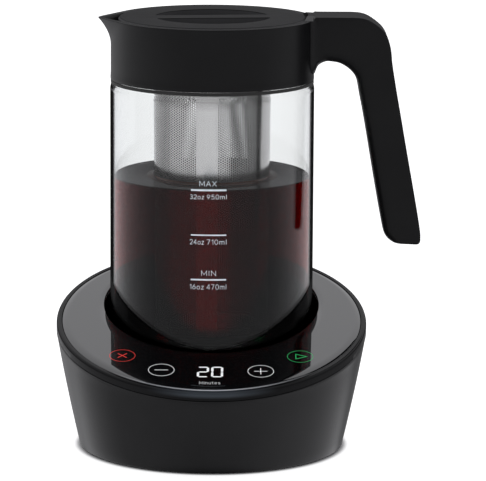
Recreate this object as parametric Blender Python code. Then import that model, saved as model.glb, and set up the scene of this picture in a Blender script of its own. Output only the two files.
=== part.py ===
"""Cold brew coffee maker: a glass jug with a lifted-out filter, standing in the
sloping top of a powered base whose motor turns a magnetic stirrer in the jug.

Lengths below are millimetres; vertices are written in metres, +Z up.
The jug's axis is vertical. The base is a cup that flares from a round foot to a
wider rim, cut by a plane that slopes down towards the user (-Y).
"""
import bpy
import bmesh
from math import acos, atan2, cos, degrees, hypot, pi, radians, sin, sqrt
from mathutils import Vector

# ---------------------------------------------------------------- dimensions
MM = 0.001
GAP = 0.3                 # clearance between neighbouring pieces
CX, CY = -15.4, 3.45      # moves the assembly so its footprint is centred on the origin

# base
FOOT_R = 74.8             # radius of the housing at the table
RIM_A, RIM_B = 87.8, 89.5    # half width and half depth of the sloping rim, in plan
RIM_Y = -3.45             # the rim's centre lies this far forward of the foot's
Z0, SLOPE = 74.07, 0.2592    # rim plane: z = Z0 + SLOPE * y
WALL = 2.4
BULGE = 0.5               # how far the side wall swells at half height
BOTTOM = 0.6              # underside of the housing above the table
BEZEL_H, BEZEL_W = 4.6, 3.0
PLATE_T = 1.8

# well for the jug
JUG_Y = 15.58             # the jug's axis, behind the foot's centre
WELL_R, WELL_FLOOR_R = 61.3, 59.2
WELL_FLOOR = 47.5
LIP = 1.6                 # thickness of the liner's wall

# jug
JUG_R = 57.43             # radius of the collar
GLASS_R, GLASS = 57.75, 2.3
JUG_BOTTOM, JUG_FLOOR = 49.5, 53.5
NECK_R, NECK_TOP = 53.2, 213.2
COLLAR_BOTTOM, COLLAR_TOP = 208.0, 242.6
BORE_R = 51.2
SPOUT_TIP, SPOUT_START = 66.0, 226.0

# lid
LID_R, LID_TOP = 53.1, 243.05
PLUG_R, PLUG_BOTTOM, PLUG_TOP = 50.2, 214.0, 238.6
RECESS_R, RECESS_FLOOR, BAR = 32.5, 230.0, 13.4
BAR_TURN = 5.0            # the bar stands this many degrees round from the spout's line

# filter and stirrer
BASKET_R, BASKET_R_LOW, MESH_T = 33.15, 32.2, 0.7
BASKET_TOP, BASKET_LOW = 206.2, 64.6
STIR_R, STIR_Z = 24.0, 55.2

# handle
HANDLE_TOP = 244.4
HANDLE_W, HANDLE_W_TIP = 27.6, 19.0
INSERT_D = 1.8            # thickness of the insert in the grip's inner face

N = 32                    # sides of the large round pieces


def wipe():
    for ob in list(bpy.data.objects):
        bpy.data.objects.remove(ob, do_unlink=True)


wipe()
SCENE = bpy.context.scene.collection


# ---------------------------------------------------------------- materials
def material(name, colour, rough, metal=0.0, alpha=1.0, transmission=0.0, coat=0.0):
    m = bpy.data.materials.new(name)
    m.use_nodes = True
    b = m.node_tree.nodes["Principled BSDF"]
    b.inputs["Base Color"].default_value = (*colour, 1.0)
    b.inputs["Roughness"].default_value = rough
    b.inputs["Metallic"].default_value = metal
    b.inputs["Alpha"].default_value = alpha
    b.inputs["Transmission Weight"].default_value = transmission
    b.inputs["Coat Weight"].default_value = coat
    m.diffuse_color = (*colour, alpha)
    return m


BLACK = material("satin_black", (0.020, 0.020, 0.022), 0.38)
LIDBLACK = material("lid_black", (0.026, 0.026, 0.028), 0.45)
GLOSS = material("gloss_black", (0.012, 0.012, 0.014), 0.06, coat=1.0)
PANEL = material("panel_glass", (0.015, 0.015, 0.018), 0.04, coat=1.0)
LINER = material("liner_black", (0.018, 0.018, 0.020), 0.30)
RUBBER = material("black_rubber", (0.03, 0.03, 0.03), 0.75)
SILICONE = material("grey_silicone", (0.10, 0.10, 0.11), 0.6)
CLEAR = material("clear_glass", (0.92, 0.96, 0.97), 0.02, alpha=0.35, transmission=1.0)
STEEL = material("stainless", (0.62, 0.61, 0.59), 0.28, metal=1.0)
ZINC = material("zinc_plate", (0.55, 0.56, 0.58), 0.35, metal=1.0)
FILTERBLACK = material("filter_black", (0.03, 0.03, 0.032), 0.5)
BOARD = material("board_green", (0.02, 0.16, 0.07), 0.45)
CHIP = material("chip_black", (0.02, 0.02, 0.02), 0.5)
LENS = material("display_dark", (0.03, 0.03, 0.035), 0.2)
BRASS = material("brass", (0.70, 0.52, 0.22), 0.3, metal=1.0)
MAGNET = material("nickel", (0.68, 0.66, 0.62), 0.18, metal=1.0)
WIRE = material("lead_black", (0.04, 0.04, 0.045), 0.55)
WHITE = material("white_plastic", (0.75, 0.75, 0.73), 0.45)


# ---------------------------------------------------------------- bodies
class Body:
    """A rigid group. Its empty stands on the axis that the group moves about."""

    def __init__(self, name, origin=None, parent=None):
        self.o = Vector(origin) if origin else Vector((0, 0, 0))
        self.empty = None
        if origin:
            self.empty = bpy.data.objects.new(name + "_axis", None)
            SCENE.objects.link(self.empty)
            self.empty.empty_display_size = 0.02
            if parent and parent.empty:
                self.empty.parent = parent.empty
                self.empty.location = (self.o - parent.o) * MM
            else:
                self.empty.location = self.o * MM


AX = (CX, CY + JUG_Y)
base = Body("base")
drive = Body("drive", (AX[0], AX[1], 38.0))
carafe = Body("carafe", (AX[0], AX[1], JUG_BOTTOM))
lid = Body("lid", (AX[0], AX[1], PLUG_TOP), carafe)
dial = Body("dial", (AX[0], AX[1], LID_TOP), lid)
filt = Body("filter", (AX[0], AX[1], PLUG_BOTTOM), lid)
stir = Body("stirrer", (AX[0], AX[1], STIR_Z), filt)


# ---------------------------------------------------------------- mesh helpers
def finish(name, bm, body, mat, cutter=False, sharp=35.0, shift=True):
    """Close off a bmesh built in millimetres about the foot's centre."""
    off = Vector((CX, CY, 0.0)) if shift else Vector((0, 0, 0))
    for v in bm.verts:
        v.co = (v.co + off - body.o) * MM
    bmesh.ops.recalc_face_normals(bm, faces=bm.faces)
    me = bpy.data.meshes.new(name)
    bm.to_mesh(me)
    bm.free()
    me.materials.append(mat)
    me.shade_smooth()
    me.set_sharp_from_angle(angle=radians(sharp))
    ob = bpy.data.objects.new(name, me)
    SCENE.objects.link(ob)
    if body.empty:
        ob.parent = body.empty
    if cutter:
        ob.hide_render = True
        ob.display_type = 'WIRE'
    return ob


def loft(bm, loops, ring=False, cap=True):
    """Skin a list of point loops; ring joins the last loop to the first."""
    rows = [[bm.verts.new(Vector(p)) for p in lp] for lp in loops]
    n = len(rows[0])
    last = len(rows) if ring else len(rows) - 1
    for i in range(last):
        a, b = rows[i], rows[(i + 1) % len(rows)]
        for j in range(n):
            k = (j + 1) % n
            bm.faces.new((a[j], a[k], b[k], b[j]))
    if cap and not ring:
        bm.faces.new(rows[0])
        bm.faces.new(rows[-1])
    return rows


def angles(n=N):
    return [2 * pi * i / n for i in range(n)]


def turned(bm, profile, n=N, centre=(0.0, JUG_Y)):
    """Turn an (r, z) outline about a vertical axis. r = 0 at both ends closes it
    with flat discs; otherwise the outline is a ring's closed section."""
    solid = profile[0][0] == 0 and profile[-1][0] == 0
    pts = profile[1:-1] if solid else profile
    loops = [[(centre[0] + r * cos(t), centre[1] + r * sin(t), z) for t in angles(n)]
             for r, z in pts]
    loft(bm, loops, ring=not solid)


def turn_piece(name, profile, body, mat, n=N, centre=(0.0, JUG_Y), **kw):
    bm = bmesh.new()
    turned(bm, profile, n, centre)
    return finish(name, bm, body, mat, **kw)


def block(bm, lo, hi):
    x0, y0, z0 = lo
    x1, y1, z1 = hi
    loft(bm, [[(x0, y0, z), (x1, y0, z), (x1, y1, z), (x0, y1, z)] for z in (z0, z1)])


def cut(ob, tool, op='DIFFERENCE'):
    m = ob.modifiers.new(op.lower(), 'BOOLEAN')
    m.operation = op
    m.solver = 'EXACT'
    m.object = tool


# loops that follow the sloping rim
def plane_z(y):
    return Z0 + SLOPE * y


def rim(inset, dz, n=N):
    out = []
    for t in angles(n):
        x, y = (RIM_A - inset) * cos(t), RIM_Y + (RIM_B - inset) * sin(t)
        out.append((x, y, plane_z(y) + dz))
    return out


def well(r, dz, limit=None, n=N):
    """A circle about the jug's axis, on the sloping plane. limit keeps it inside
    the rim's outline shrunk by that much."""
    out = []
    for t in angles(n):
        rr = r
        if limit is not None:
            a, b = RIM_A - limit, RIM_B - limit
            c, s, d = cos(t), sin(t), JUG_Y - RIM_Y
            qa = (c / a) ** 2 + (s / b) ** 2
            qb = 2 * d * s / b ** 2
            qc = (d / b) ** 2 - 1
            rr = min(r, (-qb + sqrt(qb * qb - 4 * qa * qc)) / (2 * qa))
        x, y = rr * cos(t), JUG_Y + rr * sin(t)
        out.append((x, y, plane_z(y) + dz))
    return out


def level(r, z, y=0.0, n=N):
    return [(r * cos(t), y + r * sin(t), z) for t in angles(n)]


def wall_point(t, z, inset=0.0):
    """A point of the housing's side wall at height z."""
    x1, y1 = RIM_A * cos(t), RIM_Y + RIM_B * sin(t)
    z1 = plane_z(y1) - BEZEL_H - GAP
    f = (z - BOTTOM) / (z1 - BOTTOM)
    r0 = Vector((FOOT_R * cos(t), FOOT_R * sin(t)))
    swell = BULGE * 4 * f * (1 - f) - inset
    p = r0 + (Vector((x1, y1)) - r0) * f + Vector((cos(t), sin(t))) * swell
    return (p.x, p.y, z)


def wall_part(t, f, inset=0.0):
    """A point of the side wall part of the way up."""
    z1 = plane_z(RIM_Y + RIM_B * sin(t)) - BEZEL_H - GAP
    return wall_point(t, BOTTOM + f * (z1 - BOTTOM), inset)


# ================================================================ base
def make_housing():
    seat = -PLATE_T - 0.15 - GAP                   # ledge that carries the panel
    bz = -BEZEL_H - GAP
    bm = bmesh.new()
    loft(bm, [
        level(FOOT_R - 0.6, BOTTOM),
        [wall_point(t, BOTTOM + 0.6) for t in angles()],
        [wall_part(t, 0.3) for t in angles()],
        [wall_part(t, 0.7) for t in angles()],
        rim(0.0, bz),
        rim(BEZEL_W + GAP, bz),
        rim(BEZEL_W + GAP, seat),
        rim(5.4, seat),
        rim(5.4, -7.0),
        rim(WALL + 0.3, -9.8),
        [wall_part(t, 0.5, WALL) for t in angles()],
        [wall_point(t, BOTTOM, WALL) for t in angles()],
    ], ring=True)
    ob = finish("base_housing", bm, base, BLACK)

    # four screw bosses, each webbed to the wall
    bosses = bmesh.new()
    for a in SCREW_ANGLES:
        rows = []
        for z in (4.2, 13.0):
            w = wall_point(a, z, WALL - 1.2)
            far = hypot(w[0], w[1])
            pts = [(SCREW_R + 4.2 * cos(q), 4.2 * sin(q)) for q in
                   [radians(90 + 30 * k) for k in range(7)]]
            pts += [(far, -4.2), (far, 4.2)]
            rows.append([(x * cos(a) - y * sin(a), x * sin(a) + y * cos(a), z) for x, y in pts])
        loft(bosses, rows)
    cut(ob, finish("boss_shapes", bosses, base, BLACK, cutter=True), 'UNION')

    holes = bmesh.new()
    for a in SCREW_ANGLES:
        turned(holes, [(0, 3.6), (1.7, 3.6), (1.7, 11.6), (0, 11.6)], 12,
               (SCREW_R * cos(a), SCREW_R * sin(a)))
    loft(holes, [[(5.3 * cos(t), y, INLET_Z + 5.3 * sin(t)) for t in angles(12)]
                 for y in (70.0, 84.0)])
    cut(ob, finish("housing_holes", holes, base, BLACK, cutter=True))
    return ob


SCREW_R = 66.8
SCREW_ANGLES = [radians(a) for a in (38, 142, 218, 322)]
INLET_Z = 17.0


def make_cover():
    ob = turn_piece("bottom_cover", [(0, 1.5), (71.2, 1.5), (71.9, 2.2), (71.9, 3.9), (0, 3.9)],
                    base, BLACK, centre=(0, 0))
    bm = bmesh.new()
    for a in SCREW_ANGLES:
        c = (SCREW_R * cos(a), SCREW_R * sin(a))
        turned(bm, [(0, 0.5), (3.3, 0.5), (3.3, 2.9), (1.8, 2.9), (1.8, 5.0), (0, 5.0)], 12, c)
    for i in range(-4, 5):                          # ventilation slots
        w = 13.0 - 0.45 * i * i * 0.5
        x = i * 6.0
        block(bm, (x - 1.2, -22.0 - w, 0.5), (x + 1.2, -22.0 + w, 5.0))
    cut(ob, finish("cover_holes", bm, base, BLACK, cutter=True))
    return ob


def make_base():
    make_housing()

    bm = bmesh.new()
    loft(bm, [rim(0.0, -BEZEL_H), rim(0.0, -1.3), rim(0.35, -0.45), rim(1.1, 0.0),
              rim(BEZEL_W - 0.2, 0.0), rim(BEZEL_W, -0.2), rim(BEZEL_W, -BEZEL_H)], ring=True)
    finish("bezel_ring", bm, base, GLOSS)

    bm = bmesh.new()
    loft(bm, [rim(BEZEL_W + GAP, -0.15), well(WELL_R, -0.15),
              well(WELL_R, -0.15 - PLATE_T), rim(BEZEL_W + GAP, -0.15 - PLATE_T)], ring=True)
    finish("top_panel", bm, base, PANEL)

    under = -0.15 - PLATE_T - GAP
    bm = bmesh.new()
    loft(bm, [
        level(WELL_FLOOR_R - 1.8, WELL_FLOOR, JUG_Y),
        level(WELL_FLOOR_R, WELL_FLOOR + 1.7, JUG_Y),
        well(WELL_R, under),
        well(66.0, under, 6.2),
        well(66.0, under - 1.7, 6.2),
        well(WELL_R + LIP, under - 1.7),
        level(WELL_FLOOR_R + LIP, WELL_FLOOR, JUG_Y),
        level(WELL_FLOOR_R - 1.0, WELL_FLOOR - 2.0, JUG_Y),
    ])
    finish("well_liner", bm, base, LINER)

    turn_piece("well_mat", [(24, 47.8), (56, 47.8), (56, 49.2), (24, 49.2)], base, SILICONE)

    make_cover()

    for i, a in enumerate((45, 135, 225, 315)):
        c = (56 * cos(radians(a)), 56 * sin(radians(a)))
        turn_piece("foot_%d" % (i + 1), [(0, 0), (6.6, 0), (7.4, 0.6), (7.4, 1.2), (0, 1.2)],
                   base, RUBBER, n=16, centre=c)

    for i, a in enumerate(SCREW_ANGLES):
        c = (SCREW_R * cos(a), SCREW_R * sin(a))
        turn_piece("cover_screw_%d" % (i + 1),
                   [(0, 1.75), (2.4, 1.75), (2.8, 2.1), (2.8, 2.6), (1.4, 2.6), (1.4, 10.6),
                    (0, 10.6)], base, ZINC, n=10, centre=c)

    # motor, hung from a bracket on three posts
    turn_piece("motor", [(0, 7.0), (13.2, 7.0), (14.0, 7.8), (14.0, 27.4), (13.2, 28.2),
                         (4.0, 28.2), (4.0, 30.0), (1.8, 30.0), (1.8, 24.0), (0, 24.0)],
               base, ZINC, n=24)
    br = turn_piece("motor_bracket", [(4.3, 28.5), (25.0, 28.5), (25.0, 30.0), (4.3, 30.0)],
                    base, ZINC, n=24)
    holes = bmesh.new()
    for i, a in enumerate((30, 150, 270)):
        c = (20.5 * cos(radians(a)), JUG_Y + 20.5 * sin(radians(a)))
        turned(holes, [(0, 27.0), (1.8, 27.0), (1.8, 31.0), (0, 31.0)], 12, c)
        turn_piece("motor_post_%d" % (i + 1),
                   [(1.7, 4.2), (3.4, 4.2), (3.4, 28.2), (1.7, 28.2)], base, WHITE, n=10, centre=c)
        turn_piece("motor_screw_%d" % (i + 1),
                   [(0, 20.6), (1.4, 20.6), (1.4, 30.3), (2.9, 30.3), (2.9, 31.2),
                    (2.3, 32.0), (0, 32.0)], base, ZINC, n=10, centre=c)
    cut(br, finish("bracket_holes", holes, base, ZINC, cutter=True))

    # control board: a crescent under the front of the panel
    def arc_point(r, a):
        x, y = r * sin(radians(a)), JUG_Y - r * cos(radians(a))
        return x, y

    steps = [-44 + 88 * i / 10 for i in range(11)]
    out = [arc_point(91.5, a) for a in steps] + [arc_point(70.5, a) for a in reversed(steps)]
    bm = bmesh.new()
    loft(bm, [[(x, y, plane_z(y) + dz) for x, y in out] for dz in (-10.6, -9.0)])
    ob = finish("control_board", bm, base, BOARD)
    holes = bmesh.new()
    for i, (a, r) in enumerate(((-26, 76.0), (26, 76.0))):
        x, y = arc_point(r, a)
        top = plane_z(y)

        def tilt(r_, dz, n=12):
            return [(x + r_ * cos(t), y + r_ * sin(t), plane_z(y + r_ * sin(t)) + dz)
                    for t in angles(n)]
        post, screw = bmesh.new(), bmesh.new()
        loft(post, [level_at(x, y, 1.7, 4.2), level_at(x, y, 3.4, 4.2), tilt(3.4, -10.9),
                    tilt(1.7, -10.9)], ring=True)
        turned(holes, [(0, top - 13), (1.8, top - 13), (1.8, top - 6), (0, top - 6)], 12, (x, y))
        loft(screw, [level_at(x, y, 1.3, top - 18.0), tilt(1.3, -8.7), tilt(2.8, -8.7),
                     tilt(2.8, -7.8), tilt(2.0, -7.2)])
        finish("board_post_%d" % (i + 1), post, base, WHITE)
        finish("board_screw_%d" % (i + 1), screw, base, ZINC)
    cut(ob, finish("board_holes", holes, base, BOARD, cutter=True))

    def slab(bm, x, y, w, d, dz0, dz1):
        loft(bm, [[(x + sx * w / 2, y + sy * d / 2, plane_z(y + sy * d / 2) + dz)
                   for sx, sy in ((-1, -1), (1, -1), (1, 1), (-1, 1))] for dz in (dz0, dz1)])

    bm = bmesh.new()
    slab(bm, 0.0, -70.0, 30.0, 9.0, -8.7, -2.3)
    finish("display_module", bm, base, LENS)

    for i, (a, r) in enumerate(((-37.7, 81.4), (-18.9, 86.0), (18.9, 86.0), (37.7, 81.4))):
        bm = bmesh.new()
        x, y = arc_point(r, a)
        rows = []
        for rr, dz in ((5.6, -8.7), (5.6, -7.9), (4.6, -7.3), (4.6, -3.6), (5.6, -3.0), (5.6, -2.3)):
            rows.append([(x + rr * cos(t), y + rr * sin(t), plane_z(y + rr * sin(t)) + dz)
                         for t in angles(12)])
        loft(bm, rows)
        finish("touch_pad_%d" % (i + 1), bm, base, RUBBER)

    for name, x, y, w, d, h in (("processor_chip", -9, -66, 9, 9, 1.6),
                                ("driver_chip", 10, -66.5, 7, 5, 1.8)):
        bm = bmesh.new()
        slab(bm, x, y, w, d, -10.9 - h, -10.9)
        finish(name, bm, base, CHIP)

    x, y = arc_point(82.0, -31)
    bm = bmesh.new()
    loft(bm, [[(x + rr * cos(t), y + rr * sin(t), plane_z(y + rr * sin(t)) + dz)
               for t in angles(12)] for rr, dz in ((4.2, -18.4), (5.8, -17.9), (5.8, -14.2))])
    finish("buzzer", bm, base, CHIP)

    # power inlet through the back wall, its axis along Y
    bm = bmesh.new()
    prof = [(5.0, 60.0), (5.0, 66.0), (7.4, 66.0), (7.4, 71.5), (5.0, 71.5), (5.0, 76.4),
            (4.6, 76.8), (3.2, 76.8), (3.2, 67.4)]
    loft(bm, [[(r * cos(t), yy, INLET_Z + r * sin(t)) for t in angles(12)] for r, yy in prof])
    finish("power_inlet", bm, base, CHIP)
    bm = bmesh.new()
    loft(bm, [[(r * cos(t), yy, INLET_Z + r * sin(t)) for t in angles(8)]
              for r, yy in ((1.0, 67.7), (1.0, 74.4), (0.7, 74.8))])
    finish("inlet_pin", bm, base, STEEL)

    lead("inlet_lead", [(0, 59.6, 17), (0, 54, 16.4), (10, 47, 11), (30, 38, 9), (44, 14, 9),
                        (42, -20, 12), (28, -44, 26), (20.5, -57, 38), (20, -60.5, 46.8)], 1.3)
    lead("motor_lead", [(-14.5, JUG_Y, 11), (-19, JUG_Y - 0.5, 10.6), (-27, 6, 8), (-34, -14, 9),
                        (-30, -36, 18), (-20, -54, 36), (-19.5, -60.5, 46.8)], 1.1)


def level_at(x, y, r, z, n=12):
    return [(x + r * cos(t), y + r * sin(t), z) for t in angles(n)]


def lead(name, pts, r):
    """A lead run through the given points on a smooth (Catmull-Rom) path."""
    p = [Vector(q) for q in pts]
    p = [p[0] * 2 - p[1]] + p + [p[-1] * 2 - p[-2]]
    path = []
    for i in range(1, len(p) - 2):
        for k in range(3):
            t = k / 3
            path.append(0.5 * ((2 * p[i]) + (p[i + 1] - p[i - 1]) * t
                               + (2 * p[i - 1] - 5 * p[i] + 4 * p[i + 1] - p[i + 2]) * t * t
                               + (3 * p[i] - p[i - 1] - 3 * p[i + 1] + p[i + 2]) * t ** 3))
    path.append(p[-2])
    cu = bpy.data.curves.new(name, 'CURVE')
    cu.dimensions = '3D'
    cu.bevel_depth = r * MM
    cu.bevel_resolution = 2
    cu.use_fill_caps = True
    sp = cu.splines.new('POLY')
    sp.points.add(len(path) - 1)
    for q, s in zip(path, sp.points):
        s.co = ((q.x + CX) * MM, (q.y + CY) * MM, q.z * MM, 1.0)
    cu.materials.append(WIRE)
    ob = bpy.data.objects.new(name, cu)
    SCENE.objects.link(ob)
    return ob


# ================================================================ magnetic drive
def make_drive():
    turn_piece("motor_shaft", [(0, 24.3), (1.5, 24.3), (1.5, 38.7), (0, 38.7)], drive, STEEL, n=10)
    turn_piece("drive_hub", [(0, 39.2), (1.8, 39.2), (1.8, 33.5), (5.0, 33.5), (5.0, 37.2),
                             (20.6, 37.2), (20.6, 40.2), (0, 40.2)],
               drive, WHITE, n=24)
    for i, a in enumerate((0, 180)):
        c = (14.0 * cos(radians(a)), JUG_Y + 14.0 * sin(radians(a)))
        turn_piece("drive_magnet_%d" % (i + 1),
                   [(0, 40.5), (5.5, 40.5), (5.5, 44.3), (5.1, 44.6), (0, 44.6)],
                   drive, MAGNET, n=14, centre=c)


# ================================================================ jug
def beak(t, r, tip):
    """Radius at angle t of a circle of radius r with a beak out to tip at -X,
    its sides straight and tangent to the circle, its point slightly rounded."""
    if tip <= r + 0.02:
        return r
    off = abs(((t - pi) + pi) % (2 * pi) - pi)
    off = sqrt(off * off + 0.0016)                  # rounds the point
    full = acos(r / tip)
    return r if off >= full else r / cos(full - off)


def spout_tip(z):
    """How far the beak reaches at height z."""
    if z <= SPOUT_START:
        return JUG_R
    f = min(1.0, (z - SPOUT_START) / (COLLAR_TOP - 0.2 - SPOUT_START))
    return JUG_R + (SPOUT_TIP - JUG_R) * f ** 1.9


def channel(z):
    """The pouring channel's reach inside the beak."""
    z_low = 224.0
    return BORE_R + (63.4 - BORE_R) * max(0.0, (z - z_low) / (COLLAR_TOP - z_low))


def collar_angles():
    """Even steps all round, finer about the beak."""
    out = [i * 10.0 for i in range(15)] + [150 + i * 5.0 for i in range(12)]
    out += [210 + i * 10.0 for i in range(15)]
    return [radians(a) for a in out]


def collar_loop(r, tip, z):
    return [(beak(t, r, tip) * cos(t), JUG_Y + beak(t, r, tip) * sin(t), z)
            for t in collar_angles()]


# the grip in side view: matched points on its outer and inner edge, then half width
GRIP = [
    (54.6, 244.4, 54.6, 212.8), (57.4, 244.4, 57.2, 211.8), (60.0, 244.4, 59.5, 216.4),
    (64.0, 244.4, 63.5, 218.7), (70.0, 244.4, 67.5, 218.7), (78.5, 244.4, 71.8, 217.8),
    (86.0, 243.5, 75.9, 215.5), (92.5, 239.8, 78.8, 212.8), (97.6, 234.6, 80.6, 210.2),
    (100.3, 226.7, 82.0, 206.0), (101.4, 217.5, 83.3, 199.0), (103.8, 203.0, 85.4, 188.5),
    (106.8, 186.5, 87.9, 174.5), (110.5, 166.0, 91.0, 156.5), (114.3, 145.5, 94.2, 138.5),
    (117.4, 128.0, 96.5, 126.5), (118.6, 119.5, 97.9, 120.4), (118.5, 115.8, 100.3, 116.8),
    (117.2, 113.9, 104.0, 114.4),
]
INSERT_SPAN = (5, 14)     # the insert in the inner face runs between these stations


def grip_width(i):
    f = max(0.0, min(1.0, (i - 5) / 10.0))
    w = HANDLE_W + (HANDLE_W_TIP - HANDLE_W) * f
    return (w - (1.5 if i == len(GRIP) - 1 else 0.0)) / 2


def station(i, along=0.0):
    """Inner and outer point and half width at station i, or part way to the next."""
    st, w = GRIP[i], grip_width(i)
    if along:
        st = [p + (q - p) * along for p, q in zip(st, GRIP[i + 1])]
        w += (grip_width(i + 1) - w) * along
    return Vector((st[2], st[3])), Vector((st[0], st[1])), w


def grip_section(i):
    """Section of the grip at station i: well rounded on the inner, finger side and
    only eased on the outer side."""
    q, o, w = station(i)
    span = (o - q).length
    u = (o - q) / span
    ri, ro = min(6.0, span * 0.32, w * 0.6), 0.9
    out = []
    for cd, cw, a0, r in ((ri, -(w - ri), 270, ri), (ri, w - ri, 180, ri),
                          (span - ro, w - ro, 90, ro), (span - ro, -(w - ro), 0, ro)):
        for k in range(4):
            a = radians(a0 - 30 * k)
            p = q + u * (cd + r * cos(a))
            out.append((p.x, JUG_Y + cw + r * sin(a), p.y))
    return out


def insert_section(i, side, near, far, along=0.0):
    """Rectangle in the middle of the grip's inner face, between two depths."""
    q, o, w = station(i, along)
    u = (o - q).normalized()
    h = w - 6.4 + side
    return [((q + u * d).x, JUG_Y + y, (q + u * d).y)
            for d, y in ((near, -h), (far, -h), (far, h), (near, h))]


def insert_shape(side, near, far, ends):
    a, b = INSERT_SPAN
    rows = [insert_section(a, side, near, far, along=ends)]
    rows += [insert_section(i, side, near, far) for i in range(a + 1, b)]
    rows += [insert_section(b - 1, side, near, far, along=1.0 - ends)]
    bm = bmesh.new()
    loft(bm, rows)
    return bm


def make_jug():
    turn_piece("glass_carafe", [
        (0, JUG_BOTTOM), (51.9, JUG_BOTTOM), (55.0, 50.3), (57.0, 52.4), (GLASS_R, 55.6),
        (GLASS_R, 202.8), (57.35, 204.8), (56.5, 206.8), (55.9, 208.6), (55.2, 210.2),
        (54.2, 211.2), (NECK_R, 211.7), (NECK_R, NECK_TOP), (NECK_R - GLASS, NECK_TOP),
        (NECK_R - GLASS, 211.2), (52.0, 210.3), (53.3, 208.9), (54.1, 206.9), (55.0, 204.6),
        (GLASS_R - GLASS, 202.0), (GLASS_R - GLASS, 57.4),
        (54.5, 54.8), (51.9, JUG_FLOOR), (0, JUG_FLOOR)], carafe, CLEAR)

    turn_piece("collar_seal", [(56.95, 206.7), (57.35, 206.7), (57.35, 207.7), (56.65, 207.7)],
               carafe, RUBBER)
    turn_piece("rim_seal", [(51.4, 213.5), (53.1, 213.5), (53.1, 214.9), (51.4, 214.9)],
               carafe, SILICONE)

    # collar with its beak and pouring channel
    loops = [collar_loop(JUG_R, 0, COLLAR_BOTTOM + 0.4), collar_loop(JUG_R, 0, 224.0)]
    for z in (230.0, 234.0, 238.0, 240.9):
        loops.append(collar_loop(JUG_R, spout_tip(z), z))
    loops += [
        collar_loop(56.9, spout_tip(241.9) - 0.3, 241.9),
        collar_loop(55.3, 65.0, COLLAR_TOP),
        collar_loop(53.4, 63.4, COLLAR_TOP),
        collar_loop(53.4, channel(238.6), 238.6),
        collar_loop(BORE_R, channel(238.3), 238.3),
        collar_loop(BORE_R, channel(231.0), 231.0),
        collar_loop(BORE_R, 0, 224.0),
        collar_loop(BORE_R, 0, 215.2),
        collar_loop(NECK_R + GAP, 0, 215.2),
        collar_loop(NECK_R + GAP, 0, 212.1),
        collar_loop(54.4, 0, 211.6),
        collar_loop(55.6, 0, 210.5),
        collar_loop(56.3, 0, 208.9),
        collar_loop(56.6, 0, COLLAR_BOTTOM),
        collar_loop(JUG_R - 0.4, 0, COLLAR_BOTTOM),
    ]
    bm = bmesh.new()
    loft(bm, loops, ring=True)
    ob = finish("collar", bm, carafe, BLACK)

    # the grip, grown into the collar, with a pocket for its insert
    bm = bmesh.new()
    loft(bm, [grip_section(i) for i in range(len(GRIP))])
    cut(ob, finish("grip_shape", bm, carafe, BLACK, cutter=True), 'UNION')
    cut(ob, finish("insert_pocket", insert_shape(GAP, -2.0, INSERT_D + GAP, 0.30),
                   carafe, BLACK, cutter=True))
    finish("grip_insert", insert_shape(0.0, 0.05, INSERT_D, 0.36), carafe, LIDBLACK)


# ================================================================ lid
def wedge(bm, r0, r1, half, z0, z1, at=180.0, n=4):
    """A block bounded by two arcs about the jug's axis."""
    a = [radians(at - half + 2 * half * i / n) for i in range(n + 1)]
    pts = [(r1 * cos(t), JUG_Y + r1 * sin(t)) for t in a]
    pts += [(r0 * cos(t), JUG_Y + r0 * sin(t)) for t in reversed(a)]
    loft(bm, [[(x, y, z) for x, y in pts] for z in (z0, z1)])


def make_lid():
    ob = turn_piece("lid_plug", [
        (34.2, PLUG_BOTTOM), (49.6, PLUG_BOTTOM), (PLUG_R, 214.6), (PLUG_R, 216.5), (48.9, 216.5),
        (48.9, 219.9), (PLUG_R, 219.9), (PLUG_R, PLUG_TOP), (47.2, PLUG_TOP), (47.2, 216.0),
        (34.2, 216.0)], lid, LIDBLACK)
    bm = bmesh.new()
    wedge(bm, 46.0, 52.0, 20.0, 223.5, 236.5)                     # pouring window
    for at in (150, 180, 210):                                    # slots in the floor
        wedge(bm, 38.6, 45.0, 11.0, 213.0, 217.0, at, 4)
    for at in (0, 120, 240):                                      # bayonet notches
        wedge(bm, 30.0, 37.0, 9.5, 213.0, 217.0, at, 4)
    cut(ob, finish("plug_cuts", bm, lid, LIDBLACK, cutter=True))

    turn_piece("lid_gasket", [(49.2, 216.8), (50.9, 217.2), (50.9, 219.2), (49.2, 219.6)], lid, SILICONE)

    ob = turn_piece("lid_dial", [
        (0, 228.2), (33.6, 228.2), (34.4, 229.0), (34.4, 238.9), (52.4, 238.9), (LID_R, 239.6),
        (LID_R, 242.3), (52.4, LID_TOP), (0, LID_TOP)], dial, LIDBLACK)
    bm = bmesh.new()
    edge = degrees(atan2(BAR / 2, sqrt(RECESS_R ** 2 - (BAR / 2) ** 2)))
    for side in (0.0, 180.0):
        a = [radians(side + BAR_TURN + edge + (180 - 2 * edge) * i / 14) for i in range(15)]
        loft(bm, [[(RECESS_R * cos(t), JUG_Y + RECESS_R * sin(t), z) for t in a]
                  for z in (RECESS_FLOOR, 250.0)])
    cut(ob, finish("finger_recesses", bm, dial, LIDBLACK, cutter=True))

    ob = turn_piece("pour_shutter", [(44.6, 216.3), (46.9, 216.3), (46.9, 238.6), (44.6, 238.6)],
                    dial, LIDBLACK)
    bm = bmesh.new()
    wedge(bm, 43.0, 48.0, 20.0, 223.5, 236.5)
    cut(ob, finish("shutter_window", bm, dial, LIDBLACK, cutter=True))


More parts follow.
